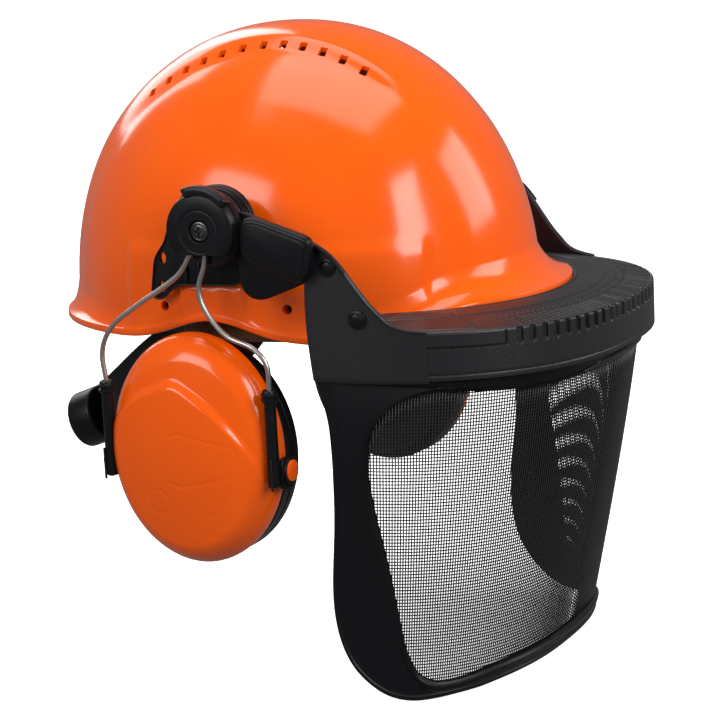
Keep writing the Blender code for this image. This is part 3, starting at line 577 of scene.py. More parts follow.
def make_sweatband():
    """Leather folded round the lower edge of the headband, its padded inner leaf drawn in by stitches."""
    count = 160
    sweep_half = math.radians(112.0)
    turn = np.linspace(-math.pi / 2 - sweep_half, -math.pi / 2 + sweep_half, count)
    section = [(0.45, 2.6), (1.1, 3.0), (1.55, 2.4), (1.6, -5.0), (1.5, -10.2), (0.6, -12.2), (-1.2, -12.7),
               (-3.4, -12.2), (-4.6, -9.0), (-5.0, -3.0), (-4.9, 4.0), (-4.4, 9.6), (-3.4, 11.6),
               (-2.6, 11.9), (-2.35, 11.0), (-2.35, 0.0), (-2.35, -10.4), (-1.2, -11.3), (0.3, -11.3),
               (0.35, -4.0)]
    rows = []
    for index, angle in enumerate(turn):
        puff = 0.25 * math.cos(index * 2 * math.pi / 20)
        row = []
        for out, z in section:
            inner = float(smooth(2.6, 4.4, -out))
            row.append(band_point(np.array(angle), out + inner * puff, z))
        rows.append(row)
    band = piece("sweatband_leather", mesh_of("sweatband_leather", *capped(rows), 60.0), "sweatband")
    stitches = []
    for angle in np.linspace(turn[2], turn[-3], 150):
        for out, z in ((1.72, 1.3), (-4.75, 9.2)):
            ends = [band_point(np.array(angle + k * 0.0075), out, z) for k in (-1, 0, 1)]
            stitches.append(sweep(ends, [0.12, 0.28, 0.12], 6))
    piece("sweatband_stitches", join_data("sweatband_stitches", stitches), look="grey_webbing", body="helmet",
          slot="tan_leather")


def strap_route(ends, level):
    feet = []
    for end in ends:
        foot = Vector(dome_point(np.array(math.radians(CLIP_TURNS[end])), 19.0, SHELL_WALL))
        feet.append(foot + Vector((-foot.x, DOME_Y - foot.y, 0.0)).normalized() * 8.5)
    foot_z, crown = 15.0, 96.0 + level * 2.4
    run = feet[1] - feet[0]
    across = Vector((-run.y, run.x, 0.0)).normalized()
    route = []
    for i in range(73):
        t = math.pi * i / 72
        middle = feet[0].lerp(feet[1], 0.5 - 0.5 * math.cos(t))
        out = Vector((*(math.cos(t) * (feet[0] - feet[1])).xy,
                      math.sin(t) * run.length * 0.5 / (crown - foot_z) * 120.0)).normalized()
        route.append((Vector((middle.x, middle.y, foot_z + (crown - foot_z) * math.sin(t))), out))
    return route, across


def make_straps():
    pairs = {"centre": ("front", "rear"), "left": ("front_left", "rear_right"),
             "right": ("front_right", "rear_left")}
    section = [(-9.5, 0.5), (-9.2, 0.1), (-8.2, 0.0), (8.2, 0.0), (9.2, 0.1), (9.5, 0.5), (9.2, 1.05),
               (8.2, 1.2), (7.7, 1.05), (7.2, 1.2), (-7.2, 1.2), (-7.7, 1.05), (-8.2, 1.2), (-9.2, 1.05)]
    for level, (name, ends) in enumerate(pairs.items()):
        route, across = strap_route(ends, level)
        rows = [[base + across * a + out * b for a, b in section] for base, out in route]
        piece(f"webbing_{name}", mesh_of(f"webbing_{name}", *capped(rows)), f"crown_strap_{name}")
        bars = []
        for station in (4, 5, -6, -5):
            base, out = route[station]
            for k in range(-6, 7):
                middle = base + across * (k * 1.2) + out * 1.25
                bars.append(sweep([middle - across * 0.5, middle, middle + across * 0.5],
                                  [0.12, 0.25, 0.12], 6))
        piece(f"webbing_stitches_{name}", join_data(f"webbing_stitches_{name}", bars), look="spring_thread",
              body="helmet", slot="grey_webbing")


def make_nape():
    half = [(71.0, 28.0, -2.0), (64.5, 46.0, -9.0), (57.0, 62.0, -18.0), (55.5, 77.0, -30.0),
            (53.5, 93.0, -45.0), (47.5, 108.0, -57.5), (36.0, 119.5, -65.0), (20.0, 126.0, -68.0), NAPE_REAR]
    route = spline(half + [(-x, y, z) for x, y, z in reversed(half[:-1])], 8)
    lean = math.sin(NAPE_TILT)
    rows = []
    for i, here in enumerate(route):
        along = (route[min(i + 1, len(route) - 1)] - route[max(i - 1, 0)]).normalized()
        share = float(smooth(40.0, 120.0, here.y))
        up = Vector((0.0, lean * share, 1.0))
        up = (up - along * up.dot(along)).normalized()
        out = up.cross(along).normalized()
        width = 8.5 + 6.5 * share
        section = [(-1, -0.7), (-0.96, -1.1), (0.96, -1.1), (1, -0.7), (1, 0.7), (0.96, 1.1), (0.8, 1.1),
                   (0.74, 0.6), (0.66, 0.6), (0.6, 1.1), (-0.6, 1.1), (-0.66, 0.6), (-0.74, 0.6),
                   (-0.8, 1.1), (-0.96, 1.1), (-1, 0.7)]
        rows.append([here + up * a * width + out * b for a, b in section])
    piece("nape_strip", mesh_of("nape_strip", *capped(rows), 35.0), "nape_band")

    tilt = Matrix.Translation(NAPE_REAR) @ Matrix.Rotation(-NAPE_TILT, 4, "X")

    def tilted(part):
        rows, faces = part
        flat = np.asarray(rows, float).reshape(-1, 3)
        turned = np.array(tilt)[:3, :3] @ flat.T + np.array(tilt)[:3, 3:]
        return turned.T, faces

    stadium = []
    for side in (1, -1):
        for k in range(17):
            angle = -math.pi / 2 + math.pi * k / 16
            stadium.append((side * (25.5 + 15.5 * math.cos(angle)), side * 15.5 * math.sin(angle)))
    points, faces = slab(stadium, 1.6, 17.0, 1.8, 4)
    case = tilted((points[..., [1, 0, 2]], faces))
    piece("ratchet_case", join_data("ratchet_case", [case]), "ratchet_housing")
    turn = circle(144)
    rows = []
    for y, reach, grip in ((17.4, 13.2, 0.0), (17.8, 14.4, 0.3), (18.6, 15.0, 1.0), (25.0, 15.0, 1.0),
                           (26.2, 14.4, 0.7), (26.9, 13.0, 0.1), (27.0, 9.4, 0.0), (26.2, 8.8, 0.0),
                           (26.0, 3.0, 0.0)):
        radius = reach - grip * 0.9 * (0.5 + 0.5 * np.cos(turn * 18)) ** 2
        rows.append(np.stack([radius * np.cos(turn), np.full(144, y), radius * np.sin(turn)], -1))
    piece("ratchet_grip", join_data("ratchet_grip", [tilted(capped(rows))], 30.0), "ratchet_knob")


# ---------------------------------------------------------------- brow guard and visor

def signed_power(value):
    """Makes the guard's and the visor's ovals squarer than an ellipse."""
    return np.sign(value) * np.abs(value) ** (2.0 / GUARD_POWER)


def guard_outline(bearing, a, reach):
    return np.stack([a * signed_power(np.sin(bearing)), GUARD_Y - reach * signed_power(np.cos(bearing))], -1)


def guard_half_width(y):
    share = np.clip(-(np.asarray(y, float) - GUARD_Y) / GUARD_REACH, 0.0, 1.0)
    return GUARD_A * (1 - share ** GUARD_POWER) ** (1 / GUARD_POWER)


def guard_inner(outer):
    turn = np.arctan2(outer[..., 1] - DOME_Y, outer[..., 0])
    reach = plan_radius(turn, RIM_A, RIM_FRONT, RIM_REAR) + 1.8
    return np.stack([reach * np.cos(turn), DOME_Y + reach * np.sin(turn)], -1)


def notch(value, centre, half, ramp=0.35):
    """1 within half of centre and 0 beyond, with short ramps."""
    return 1 - smooth(half - ramp, half + ramp, np.abs(np.asarray(value, float) - centre))


def guard_panel(side):
    """The side panel from the guard's rim up to the visor arm, curved with the rim, with a rolled edge."""
    top = spline([(0, -49.6, 46.4), (0, -53.8, 44.4), (0, -60.0, 40.4), (0, -66.6, 33.4), (0, -78.1, 17.9),
                  (0, -84.6, 10.9), (0, -89.6, 6.4), (0, -96.2, 3.9), (0, -106.0, 2.6)], 7)
    columns = []
    for index, high in enumerate(top):
        t = index / (len(top) - 1)
        column = []
        for k in range(25):
            s = k / 24
            y = (-50.0 - 56.0 * t) * (1 - s) + high.y * s + (1 - t) ** 3 * 2.4 * math.sin(math.pi * s)
            column.append((y, GUARD_LOW + (high.z - GUARD_LOW) * s))
        columns.append(column)
    proud, wall = 0.35, 3.0
    foot_edge = ((0.9, -0.9), (0.3, -0.3), (0.0, 0.6))
    top_edge = ((0.0, 0.8), (0.25, 0.25), (0.9, 0.0), (3.2, 0.0))
    rows = []
    for column in columns:
        y, z = column[0]
        ring = [(guard_half_width(y) + proud - inset, y, z + rise) for inset, rise in foot_edge]
        ring += [(guard_half_width(y) + proud, y, z) for y, z in column[1:-1]]
        y, z = column[-1]
        ring += [(guard_half_width(y) + proud - inset, y, z - fall) for inset, fall in top_edge]
        ring += [(guard_half_width(y) - wall, y, z) for y, z in reversed(column[:-1])]
        rows.append([(side * x, y, z) for x, y, z in ring])
    bead = [(side * (guard_half_width(y) + 0.1), y, z - 0.3) for y, z in (column[-1] for column in columns)]
    rear = [(side * (guard_half_width(y) + 0.1), y - 0.3, z) for y, z in reversed(columns[0])]
    return [capped(rows), sweep(bead, 0.95, 10), sweep(rear, 0.7, 10)]


def make_guard():
    columns = 740
    bearing = np.radians(np.linspace(-84.0, 84.0, columns))
    degrees = np.degrees(bearing)
    outer = guard_outline(bearing, GUARD_A, GUARD_REACH)
    inner = guard_inner(outer)
    width = np.linalg.norm(outer - inner, axis=1)
    out = (outer - inner) / width[:, None]
    tangent = np.gradient(outer, axis=0)
    tangent /= np.linalg.norm(tangent, axis=1, keepdims=True)
    normal = np.stack([-tangent[:, 1], tangent[:, 0]], -1)
    normal *= np.sign(np.sum(normal * out, axis=1))[:, None]
    arc = np.concatenate([[0.0], np.cumsum(np.linalg.norm(np.diff(outer, axis=0), axis=1))])
    first = float(np.interp(FLUTE_START, degrees, arc))
    last = round((float(np.interp(-FLUTE_START, degrees, arc)) - first) / FLUTE_PITCH)
    nearest = np.clip(np.round((arc - first) / FLUTE_PITCH), 0, last)
    offset = arc - first - nearest * FLUTE_PITCH
    finer = (arc - first) / (FLUTE_PITCH / 2)
    fine = (finer - np.round(finer)) * FLUTE_PITCH / 2
    spread = (arc > first - 2.0) & (arc < first + last * FLUTE_PITCH + 2.0)
    side_turn = np.abs(degrees)
    rows = []
    for share in np.concatenate([np.linspace(0.0, 0.2, 16), np.linspace(0.21, 0.72, 34),
                                 np.linspace(0.74, 1.0, 14)]):
        distance = share * (width - 1.6)
        z = GUARD_TOP + 4.0 - 4.0 * share + 0.7 * math.sin(math.pi * share)
        sink = 0.7 * notch(distance, 2.4, 0.4) + 0.4 * smooth(0.40, 0.42, share)
        sink = sink + 0.45 * notch(distance, 0.0, 0.5)
        groove = np.where(spread, notch(fine, 0.0, 0.5, 0.45), 0.0)
        sink = sink + 0.5 * groove * smooth(0.64, 0.68, share)
        dot = np.where(spread, notch(fine, 0.0, 0.55, 0.4), 0.0)
        sink = sink + 0.7 * dot * notch(share, 0.575, 0.014, 0.008)
        ends = np.maximum(notch(side_turn, 72.0, 0.3, 0.2),
                          notch(side_turn, 51.0, 0.3, 0.2)) * (0.3 < share < 0.9)
        sides = max(notch(share, 0.3, 0.012, 0.008), notch(share, 0.9, 0.012, 0.008))
        sink = sink + 0.4 * np.maximum(ends, ((side_turn > 50.7) & (side_turn < 72.3)) * sides)
        rows.append(np.column_stack([inner - out * (1.1 * (1 - share)) + out * distance[:, None], z - sink]))
    flute = np.where(spread, notch(offset, 0.0, FLUTE_HALF, 0.3), 0.0)
    for k in range(1, 5):
        angle = math.pi / 2 * k / 5
        point = outer - out * (1.6 * (1 - math.sin(angle))) - normal * (1.5 * flute * k / 4)[:, None]
        rows.append(np.column_stack([point, GUARD_TOP - 1.6 * (1 - math.cos(angle)) - 0.4 * flute * k / 4]))
    for z in np.concatenate([np.linspace(-1.6, -9.8, 28), np.linspace(-10.6, -20.4, 9),
                             np.linspace(-20.8, -23.2, 8)]):
        reach = np.hypot(offset, min(z + 7.2, 0.0))
        groove = np.where(spread, notch(reach, 0.0, FLUTE_HALF, 0.3), 0.0)
        panel = ((side_turn > 44.8) & (side_turn < 68.6)) * notch(z, -7.9, 0.42)
        ends = np.maximum(notch(side_turn, 45.1, 0.22, 0.12), notch(side_turn, 68.4, 0.22, 0.12)) * (z > -8.1)
        sink = 1.5 * groove + 0.8 * np.maximum(panel, ends) + 0.45 * notch(z, -21.2, 0.35, 0.25)
        rows.append(np.column_stack([outer - normal * sink[:, None], np.full(columns, GUARD_TOP + z)]))
    for inset, z in ((0.25, -23.75), (0.8, -24.0), (2.4, -24.0), (2.9, -23.6), (3.0, -22.8), (3.0, -14.0),
                     (3.0, -6.0), (3.6, -4.2)):
        rows.append(np.column_stack([outer - normal * inset, np.full(columns, GUARD_TOP + z)]))
    for share in (0.7, 0.4, 0.15):
        point = inner + out * (share * (width - 3.0))[:, None]
        rows.append(np.column_stack([point, np.full(columns, GUARD_TOP + 1.0 - 5.0 * share)]))
    rows.append(np.column_stack([inner - out * 0.8, np.full(columns, GUARD_TOP + 1.0)]))
    rows.append(np.column_stack([inner - out * 1.1, np.full(columns, GUARD_TOP + 1.6)]))
    parts = [capped(np.array(rows).transpose(1, 0, 2))]
    for side in SIDES.values():
        parts += guard_panel(side)
    piece("guard_skin", join_data("guard_skin", parts, 32.0), "brow_guard", look="guard_plastic")
    for name, side in SIDES.items():
        for place, (y, z) in (("upper", (-60.0, 33.5)), ("lower", (-74.0, 9.0))):
            profile = [(4.6, 116.5), (4.6, 118.6), (4.3, 119.1), (3.5, 119.3), (3.3, 119.1), (2.9, 119.5),
                       (2.2, 119.8), (1.2, 119.9)]
            part = lathe(profile, (0, y, z), (side, 0, 0), 40)
            piece(f"rivet_head_{place}_{name}", join_data("rivet", [part], 30.0),
                  f"guard_rivet_{place}_{name}")


def visor_point(bearing, drop, inset):
    """A point of the visor: bearing from straight ahead, drop from 0 at its top to 1, inset inwards."""
    drop = np.asarray(drop, float)
    bend = np.maximum(drop, 0.0)
    a, reach = VISOR_A - 7.0 * bend ** 1.5, VISOR_REACH - 34.5 * bend ** 1.15
    height = VISOR_TOP + (VISOR_LOW - VISOR_TOP) * drop
    return np.stack([(a - inset) * signed_power(np.sin(bearing)),
                     VISOR_REAR - (reach - inset) * signed_power(np.cos(bearing)),
                     np.broadcast_to(height, np.shape(bearing)).astype(float)], -1)


def visor_line(corners):
    """A smooth half outline in bearing and drop, evenly spaced, from corners given as drop and degrees."""
    drops, turns = np.array(corners)[:, 0], np.radians(np.array(corners)[:, 1])
    along = np.concatenate([[0.0], np.cumsum(np.hypot(np.diff(drops) * 166.0, np.diff(turns) * 110.0))])
    even = np.linspace(0.0, along[-1], OUTLINE_STEPS)
    drop, turn = np.interp(even, along, drops), np.interp(even, along, turns)
    for _ in range(4):
        drop[1:-1] = (drop[:-2] + 2 * drop[1:-1] + drop[2:]) / 4
        turn[1:-1] = (turn[:-2] + 2 * turn[1:-1] + turn[2:]) / 4
    return drop, turn


def level_line(drop, middle, first):
    """A line across the front between the two sides, easing to its own drop at the middle."""
    share = np.linspace(-1, 1, FRONT_STEPS)[1:-1]
    return middle + (drop - middle) * share ** 4, first * share


def make_visor_frame():
    side_d, side_b = visor_line(WINDOW)
    edge_d, edge_b = visor_line(VISOR_EDGE)
    top_d, top_b = level_line(0.0, 0.0, edge_b[0])
    low_d, low_b = level_line(edge_d[-1], VISOR_SILL, edge_b[-1])
    over_d, over_b = level_line(side_d[0], side_d[0] + WINDOW_BROW, side_b[0])
    under_d, under_b = level_line(side_d[-1], WINDOW_SILL, side_b[-1])
    outer_b = np.concatenate([top_b, edge_b, low_b[::-1], -edge_b[::-1]])
    outer_d = np.concatenate([top_d, edge_d, low_d[::-1], edge_d[::-1]])
    inner_b = np.concatenate([over_b, side_b, under_b[::-1], -side_b[::-1]])
    inner_d = np.concatenate([over_d, side_d, under_d[::-1], side_d[::-1]])
    outside, window = visor_point(outer_b, outer_d, 0.0), visor_point(inner_b, inner_d, 0.0)
    width = np.maximum(np.linalg.norm(outside - window, axis=1), 0.5)
    rows = []

    def ring(from_outer, from_window, inset):
        """A loop between the visor's edge and its window, by its distance from one of them."""
        share = np.clip(from_outer / width, 0, 0.5) if from_window is None else 1 - np.clip(
            from_window / width, 0, 0.5)
        rows.append(visor_point(outer_b + (inner_b - outer_b) * share,
                                outer_d + (inner_d - outer_d) * share, inset))

    for distance, inset in ((0.0, 2.0), (0.0, 1.0), (0.35, 0.2), (1.1, -0.4), (2.4, -0.4), (2.8, 0.1),
                            (3.4, 0.35), (6.0, 0.35)):
        ring(distance, None, inset)
    for distance, inset in ((5.6, 0.35), (4.9, -0.2), (4.0, -0.7), (2.6, -0.7), (1.9, 0.0), (1.2, 0.5),
                            (0.3, 0.8), (0.0, 1.3), (0.0, 3.4)):
        ring(None, distance, inset)
    ring(None, 0.6, 4.0)
    for distance, inset in ((2.2, 4.0), (0.5, 3.8), (0.0, 3.2)):
        ring(distance, None, inset)
    piece("visor_surround", mesh_of("visor_surround", *looped(rows), 50.0), "visor_frame")


def make_mesh():
    """Black wire cloth: uprights at even bearings and level wires at even heights, crossing in contact."""
    parts = []
    drops, turns = visor_line(WINDOW)
    turns = np.degrees(turns)
    widest = int(np.argmax(turns))
    for angle in np.arange(-80.0, 80.01, math.degrees(MESH_PITCH / 112.0)):
        reach = abs(angle)
        if reach > turns[widest]:
            continue
        top = float(np.interp(reach, turns[:widest + 1], drops[:widest + 1]))
        low = float(np.interp(reach, turns[widest:][::-1], drops[widest:][::-1]))
        if reach < turns[0]:
            top = drops[0] + WINDOW_BROW * (1 - (reach / turns[0]) ** 4)
        if reach < turns[-1]:
            low = WINDOW_SILL + (drops[-1] - WINDOW_SILL) * (reach / turns[-1]) ** 4
        path_drops = np.linspace(top - 0.006, low + 0.008, max(4, int(16 * (low - top)) + 2))
        path = visor_point(np.full(len(path_drops), math.radians(angle)), path_drops, UPRIGHT_INSET)
        parts.append(sweep(path, MESH_WIRE, 4))
    deepest = int(np.argmax(drops))
    height = (VISOR_TOP - VISOR_LOW) * (drops[deepest] - drops[0])
    for drop in np.linspace(drops[0], drops[deepest], int(height / MESH_PITCH)):
        half = math.radians(float(np.interp(drop, drops[:deepest + 1], turns[:deepest + 1])) + 0.6)
        path = visor_point(np.linspace(-half, half, 65), np.full(65, drop), LEVEL_INSET)
        parts.append(sweep(path, MESH_WIRE, 4))
    piece("wire_cloth", join_data("wire_cloth", parts, None), "visor_mesh")


# ---------------------------------------------------------------- hubs

def disc_profile(radius, low, high, edge=0.6):
    return [(radius - edge, low), (radius - edge * 0.3, low + edge * 0.3), (radius, low + edge),
            (radius, high - edge), (radius - edge * 0.3, high - edge * 0.3), (radius - edge, high)]


def make_hub(name, side):
    hub = (0.0, HUB_Y, HUB_Z)
    out = (side, 0.0, 0.0)

    def across(low, high):
        return sorted((side * low, side * high))

    plate = [(33, 43), (40, 34), (43, 14.5), (38, 13), (28, 21), (-6, 21.7), (-16, 33),
             (-18, 50), (-11, 65), (4, 71), (20, 67), (30, 56)]
    data = join_data("adapter", [slab(rounded(plate, 4.0, 6), *across(107.4, 109.8), 0.6)])
    adapter = piece(f"adapter_{name}", data, f"adapter_plate_{name}")
    holes = []
    for y, z in ((35.5, 34.0), (37.0, 19.5)):
        ring = [(y + 1.9 * math.cos(t), z + 3.0 * math.sin(t)) for t in circle(28)]
        holes.append(slab(ring, *across(104.0, 113.0), 0.01))
    cut(adapter, holes, 35)
    ribs = [slab(rounded(box_outline(y, y + 1.2, 22.6, 33.0), 0.5), *across(109.5, 111.4), 0.4)
            for y in (14.0, 21.5)]
    rim = [(side * 109.9, y, z) for y, z in rounded(plate, 4.0, 6)[:-1]]
    ribs.append(sweep(rim, 0.55, 8))
    piece(f"adapter_ribs_{name}", join_data("adapter_ribs", ribs), body="helmet", slot="black_plastic")

    base = disc_profile(20.0, 110.1, 111.8, 0.3) + [(19.3, 111.9), (19.3, 112.5)]
    base += disc_profile(20.0, 112.6, 114.2, 0.3)
    base += [(19.3, 114.3), (19.3, 115.5), (18.6, 115.8), (18.6, 117.5), (12.0, 117.7), (7.0, 117.7),
             (7.0, 126.0)]
    piece(f"hub_drum_{name}", join_data("hub_drum", [lathe(base, hub, out, 72)], 30.0), f"hub_base_{name}")

    eye = [(7.5, 118.0), (17.6, 118.0), (18.4, 118.7), (18.4, 120.3), (17.6, 121.0), (7.5, 121.0)]
    lever = rounded([(-8.0, 62.0), (-9.0, 42.0), (-13.0, 36.0), (-14.0, 22.5), (-19.0, 17.6), (-26.0, 17.0),
                     (-49.0, 26.0), (-54.0, 34.0), (-53.0, 47.0), (-22.0, 58.5)], 4.0, 6)
    parts = [lathe_ring(eye, hub, out, 72), slab(lever, *across(118.0, 121.0), 0.8)]
    piece(f"visor_lever_{name}", join_data("visor_lever", parts), f"visor_arm_{name}")

    cover = [(-20.0, 57.6), (-17.4, 52.5), (-17.6, 39.6), (-38.0, 28.4), (-48.5, 26.8), (-53.6, 31.0),
             (-56.2, 45.4), (-54.4, 49.4), (-27.0, 57.9)]
    inset_panel = [(-22.4, 55.0), (-20.2, 51.5), (-20.4, 41.2), (-38.6, 31.2), (-47.9, 29.6), (-51.2, 32.4),
                   (-53.4, 45.0), (-52.2, 47.0), (-27.0, 55.2)]
    parts = [slab(rounded(cover, 5.0, 7), *across(121.3, 127.7), 2.2, 6),
             slab(rounded(inset_panel, 3.0, 6), *across(127.0, 128.3), 0.45)]
    line = [(side * 127.75, y, z) for y, z in rounded([(a * 0.96 - 1.4, (b - 42.0) * 0.94 + 42.0)
                                                       for a, b in inset_panel], 3.0, 6)]
    strip = spline([(side * 120.4, -50.0, 46.0), (side * 120.0, -56.0, 43.5), (side * 119.4, -63.0, 38.0),
                    (side * 118.9, -69.0, 31.0)], 6)
    parts += [sweep(strip, 1.1, 10), sweep(line + line[:1], 0.25, 6)]
    piece(f"arm_block_{name}", join_data("arm_block", parts, 38.0), f"arm_cover_{name}")

    ring = [(7.5, 121.4), (17.8, 121.4), (18.6, 122.0), (18.6, 122.9), (18.0, 123.2), (18.0, 123.8),
            (18.6, 124.1), (18.6, 125.0), (18.0, 125.3), (18.0, 125.9), (17.4, 126.2), (7.5, 126.2)]
    carrier = piece(f"wire_carrier_{name}", join_data("wire_carrier", [lathe_ring(ring, hub, out, 72)], 30.0),
                    f"muff_carrier_{name}")
    groove = slab([(-4.0, 26.0), (18.0, 26.0), (14.0, 44.3), (-1.0, 44.3)], *across(120.0, 128.0), 0.05)
    cut(carrier, [groove], 30)

    face = [(5.4, 126.5), (17.7, 126.5), (18.3, 127.2), (18.3, 131.2), (17.9, 132.0), (16.9, 132.5),
            (10.9, 132.5), (10.6, 132.2), (10.0, 132.2), (9.7, 132.4), (5.8, 132.4), (5.4, 132.0)]
    cap = piece(f"hub_face_{name}", join_data("hub_face", [lathe_ring(face, hub, out, 96)], 28.0),
                f"hub_cap_{name}")
    trim = slab(box_outline(-30.0, 30.0, 20.0, HUB_Z - 11.5), *across(120.0, 140.0), 0.05)
    cut(cap, [trim], 28)
    bevel(cap, 0.4, 2)
    rows = []
    for k in range(41):
        angle = math.radians(40.0 + 74.0 * k / 40)
        lift = math.sqrt(min(1.0, k / 4.0, (40 - k) / 4.0))
        section = [(17.6, 128.8), (21.6, 128.8), (22.2, 129.4), (22.2, 131.0 + 2.4 * lift),
                   (21.5, 131.8 + 2.4 * lift), (18.6, 131.8 + 2.4 * lift), (17.6, 131.0 + 2.4 * lift)]
        rows.append([(side * x, HUB_Y - r * math.cos(angle), HUB_Z + r * math.sin(angle))
                     for r, x in section])
    piece(f"hub_hood_{name}", join_data("hub_hood", [capped(rows)], 50.0), body=f"muff_hub_{name}",
          slot="black_plastic")

    head = [(4.9, 126.6), (4.9, 131.0), (4.6, 131.5), (4.0, 131.7), (3.7, 131.55), (3.5, 131.8), (2.8, 132.1)]
    screw = piece(f"screw_head_{name}", join_data("screw_head", [lathe(head, hub, out, 48)], 30.0),
                  f"hub_screw_{name}")
    for long, short in ((2.3, 0.45), (0.45, 2.3)):
        outline = box_outline(HUB_Y - long, HUB_Y + long, HUB_Z - short, HUB_Z + short)
        cut(screw, [slab(outline, *across(130.6, 134.0), 0.02)], 30)


# ---------------------------------------------------------------- ear muffs

def oval(x, b, c, count, z=CUP_Z):
    """An oval ring across X about the cup's centre line."""
    turn = circle(count)
    return np.stack([np.full(count, x), CUP_Y + b * np.cos(turn), z + c * np.sin(turn)], -1)


def cup_relief(points):
    """The outer face: a raised lower field under a curved crease, and faint round and six-sided outlines."""
    y, z = points[..., 1] - CUP_Y, points[..., 2] - CUP_Z
    line = 33.0 - 0.016 * (y - 8.0) ** 2 + 2.5 * np.exp(-((y - 4.0) / 9.0) ** 2)
    field = (1 - smooth(-2.4, 2.4, z - line)) * (1 - 0.6 * smooth(24.0, 40.0, -y))
    edge = np.maximum(np.abs(y) / 30.0, np.abs(z + 2.0) / 12.0 * 0.9 + np.abs(y) / 62.0)
    outline = notch(edge, 1.0, 0.02, 0.012) * (y < 8)
    spots = sum(notch(np.hypot(y - cy, z - cz), radius, 0.5, 0.3)
                for cy, cz, radius in ((14.0, -24.0, 6.0), (-17.0, -35.0, 6.0)))
    return 2.6 * field - 0.3 * outline - 0.2 * spots


def make_cup(name, side):
    profile = [(111.0, 0.985), (111.3, 0.998), (112.5, 1.0), (115.0, 1.0), (117.0, 0.995), (118.6, 0.982),
               (120.0, 0.964), (121.4, 0.942), (122.8, 0.916), (124.2, 0.884), (125.4, 0.85), (126.6, 0.812)]
    profile += [(126.6 + 5.0 * math.sin(math.pi / 2 * t) ** 0.9, 0.812 * (1 - t) + 0.01 * t)
                for t in np.linspace(0.025, 1.0, 60)]
    inner = [(111.0, 0.95), (117.0, 0.93), (121.0, 0.88), (125.0, 0.76), (128.0, 0.55), (129.4, 0.02)]
    front, back = (np.array([oval(side * x, CUP_B * k, CUP_C * k, 200) for x, k in outline])
                   for outline in (profile, inner))
    height = np.array([float(smooth(116.0, 126.0, x)) for x, _ in profile])[:, None]
    front[..., 0] += side * cup_relief(front) * height
    skin = capped(np.concatenate([front[::-1], back]))
    piece(f"cup_{name}", mesh_of(f"cup_{name}", *skin, 45.0), f"cup_shell_{name}")

    plate = [oval(side * x, CUP_B * k, PLATE_C * k, 160, PLATE_Z) for x, k in
             ((95.0, 0.94), (95.2, 0.955), (96.4, 0.98), (97.6, 0.996), (98.6, 1.0), (103.0, 1.0),
              (103.4, 0.99), (104.2, 0.99), (104.6, 1.0), (110.0, 1.0), (110.5, 0.99), (110.6, 0.945),
              (98.2, 0.935), (97.7, 0.92))]
    plate += [oval(side * x, *PLATE_HOLE, 160, PLATE_Z) for x in (97.7, 95.0)]
    piece(f"back_plate_{name}", mesh_of("back_plate", *looped(plate), 40.0), f"cup_back_plate_{name}")
    ripple = np.zeros((160, 3))
    ripple[:, 0] = side * 0.5 * np.cos(circle(160) * 9)
    foam = [oval(side * x, CUP_B * k, PLATE_C * k, 160, PLATE_Z) + ripple for x, k in
            ((103.2, 0.05), (103.0, 0.3), (102.7, 0.6), (103.4, 0.8), (105.0, 0.845), (112.0, 0.8),
             (119.0, 0.66), (121.0, 0.4))]
    insert = piece(f"foam_{name}", mesh_of("foam", *capped(foam), 60.0), f"foam_insert_{name}")


def inflate(obj, pressure, most):
    """Blows the piece up as cloth for twenty frames and keeps each point near its start."""
    start = np.array([v.co for v in obj.data.vertices], float)
    cloth = obj.modifiers.new("Cloth", "CLOTH")
    cloth.settings.use_pressure = True
    cloth.settings.uniform_pressure_force = pressure
    cloth.settings.tension_stiffness = 30.0
    cloth.settings.compression_stiffness = 30.0
    cloth.settings.effector_weights.gravity = 0.0
    scene = bpy.context.scene
    scene.frame_start, scene.frame_end = 1, 20
    for number in range(1, 21):
        scene.frame_set(number)
    shaped = obj.evaluated_get(bpy.context.evaluated_depsgraph_get()).to_mesh()
    moved = np.array([v.co for v in shaped.vertices], float) - start
    obj.evaluated_get(bpy.context.evaluated_depsgraph_get()).to_mesh_clear()
    obj.modifiers.remove(cloth)
    length = np.linalg.norm(moved, axis=1, keepdims=True)
    moved *= np.minimum(1.0, most * MM / np.maximum(length, 1e-9))
    obj.data.vertices.foreach_set("co", (start + moved).astype(np.float32).reshape(-1))
    scene.frame_set(1)


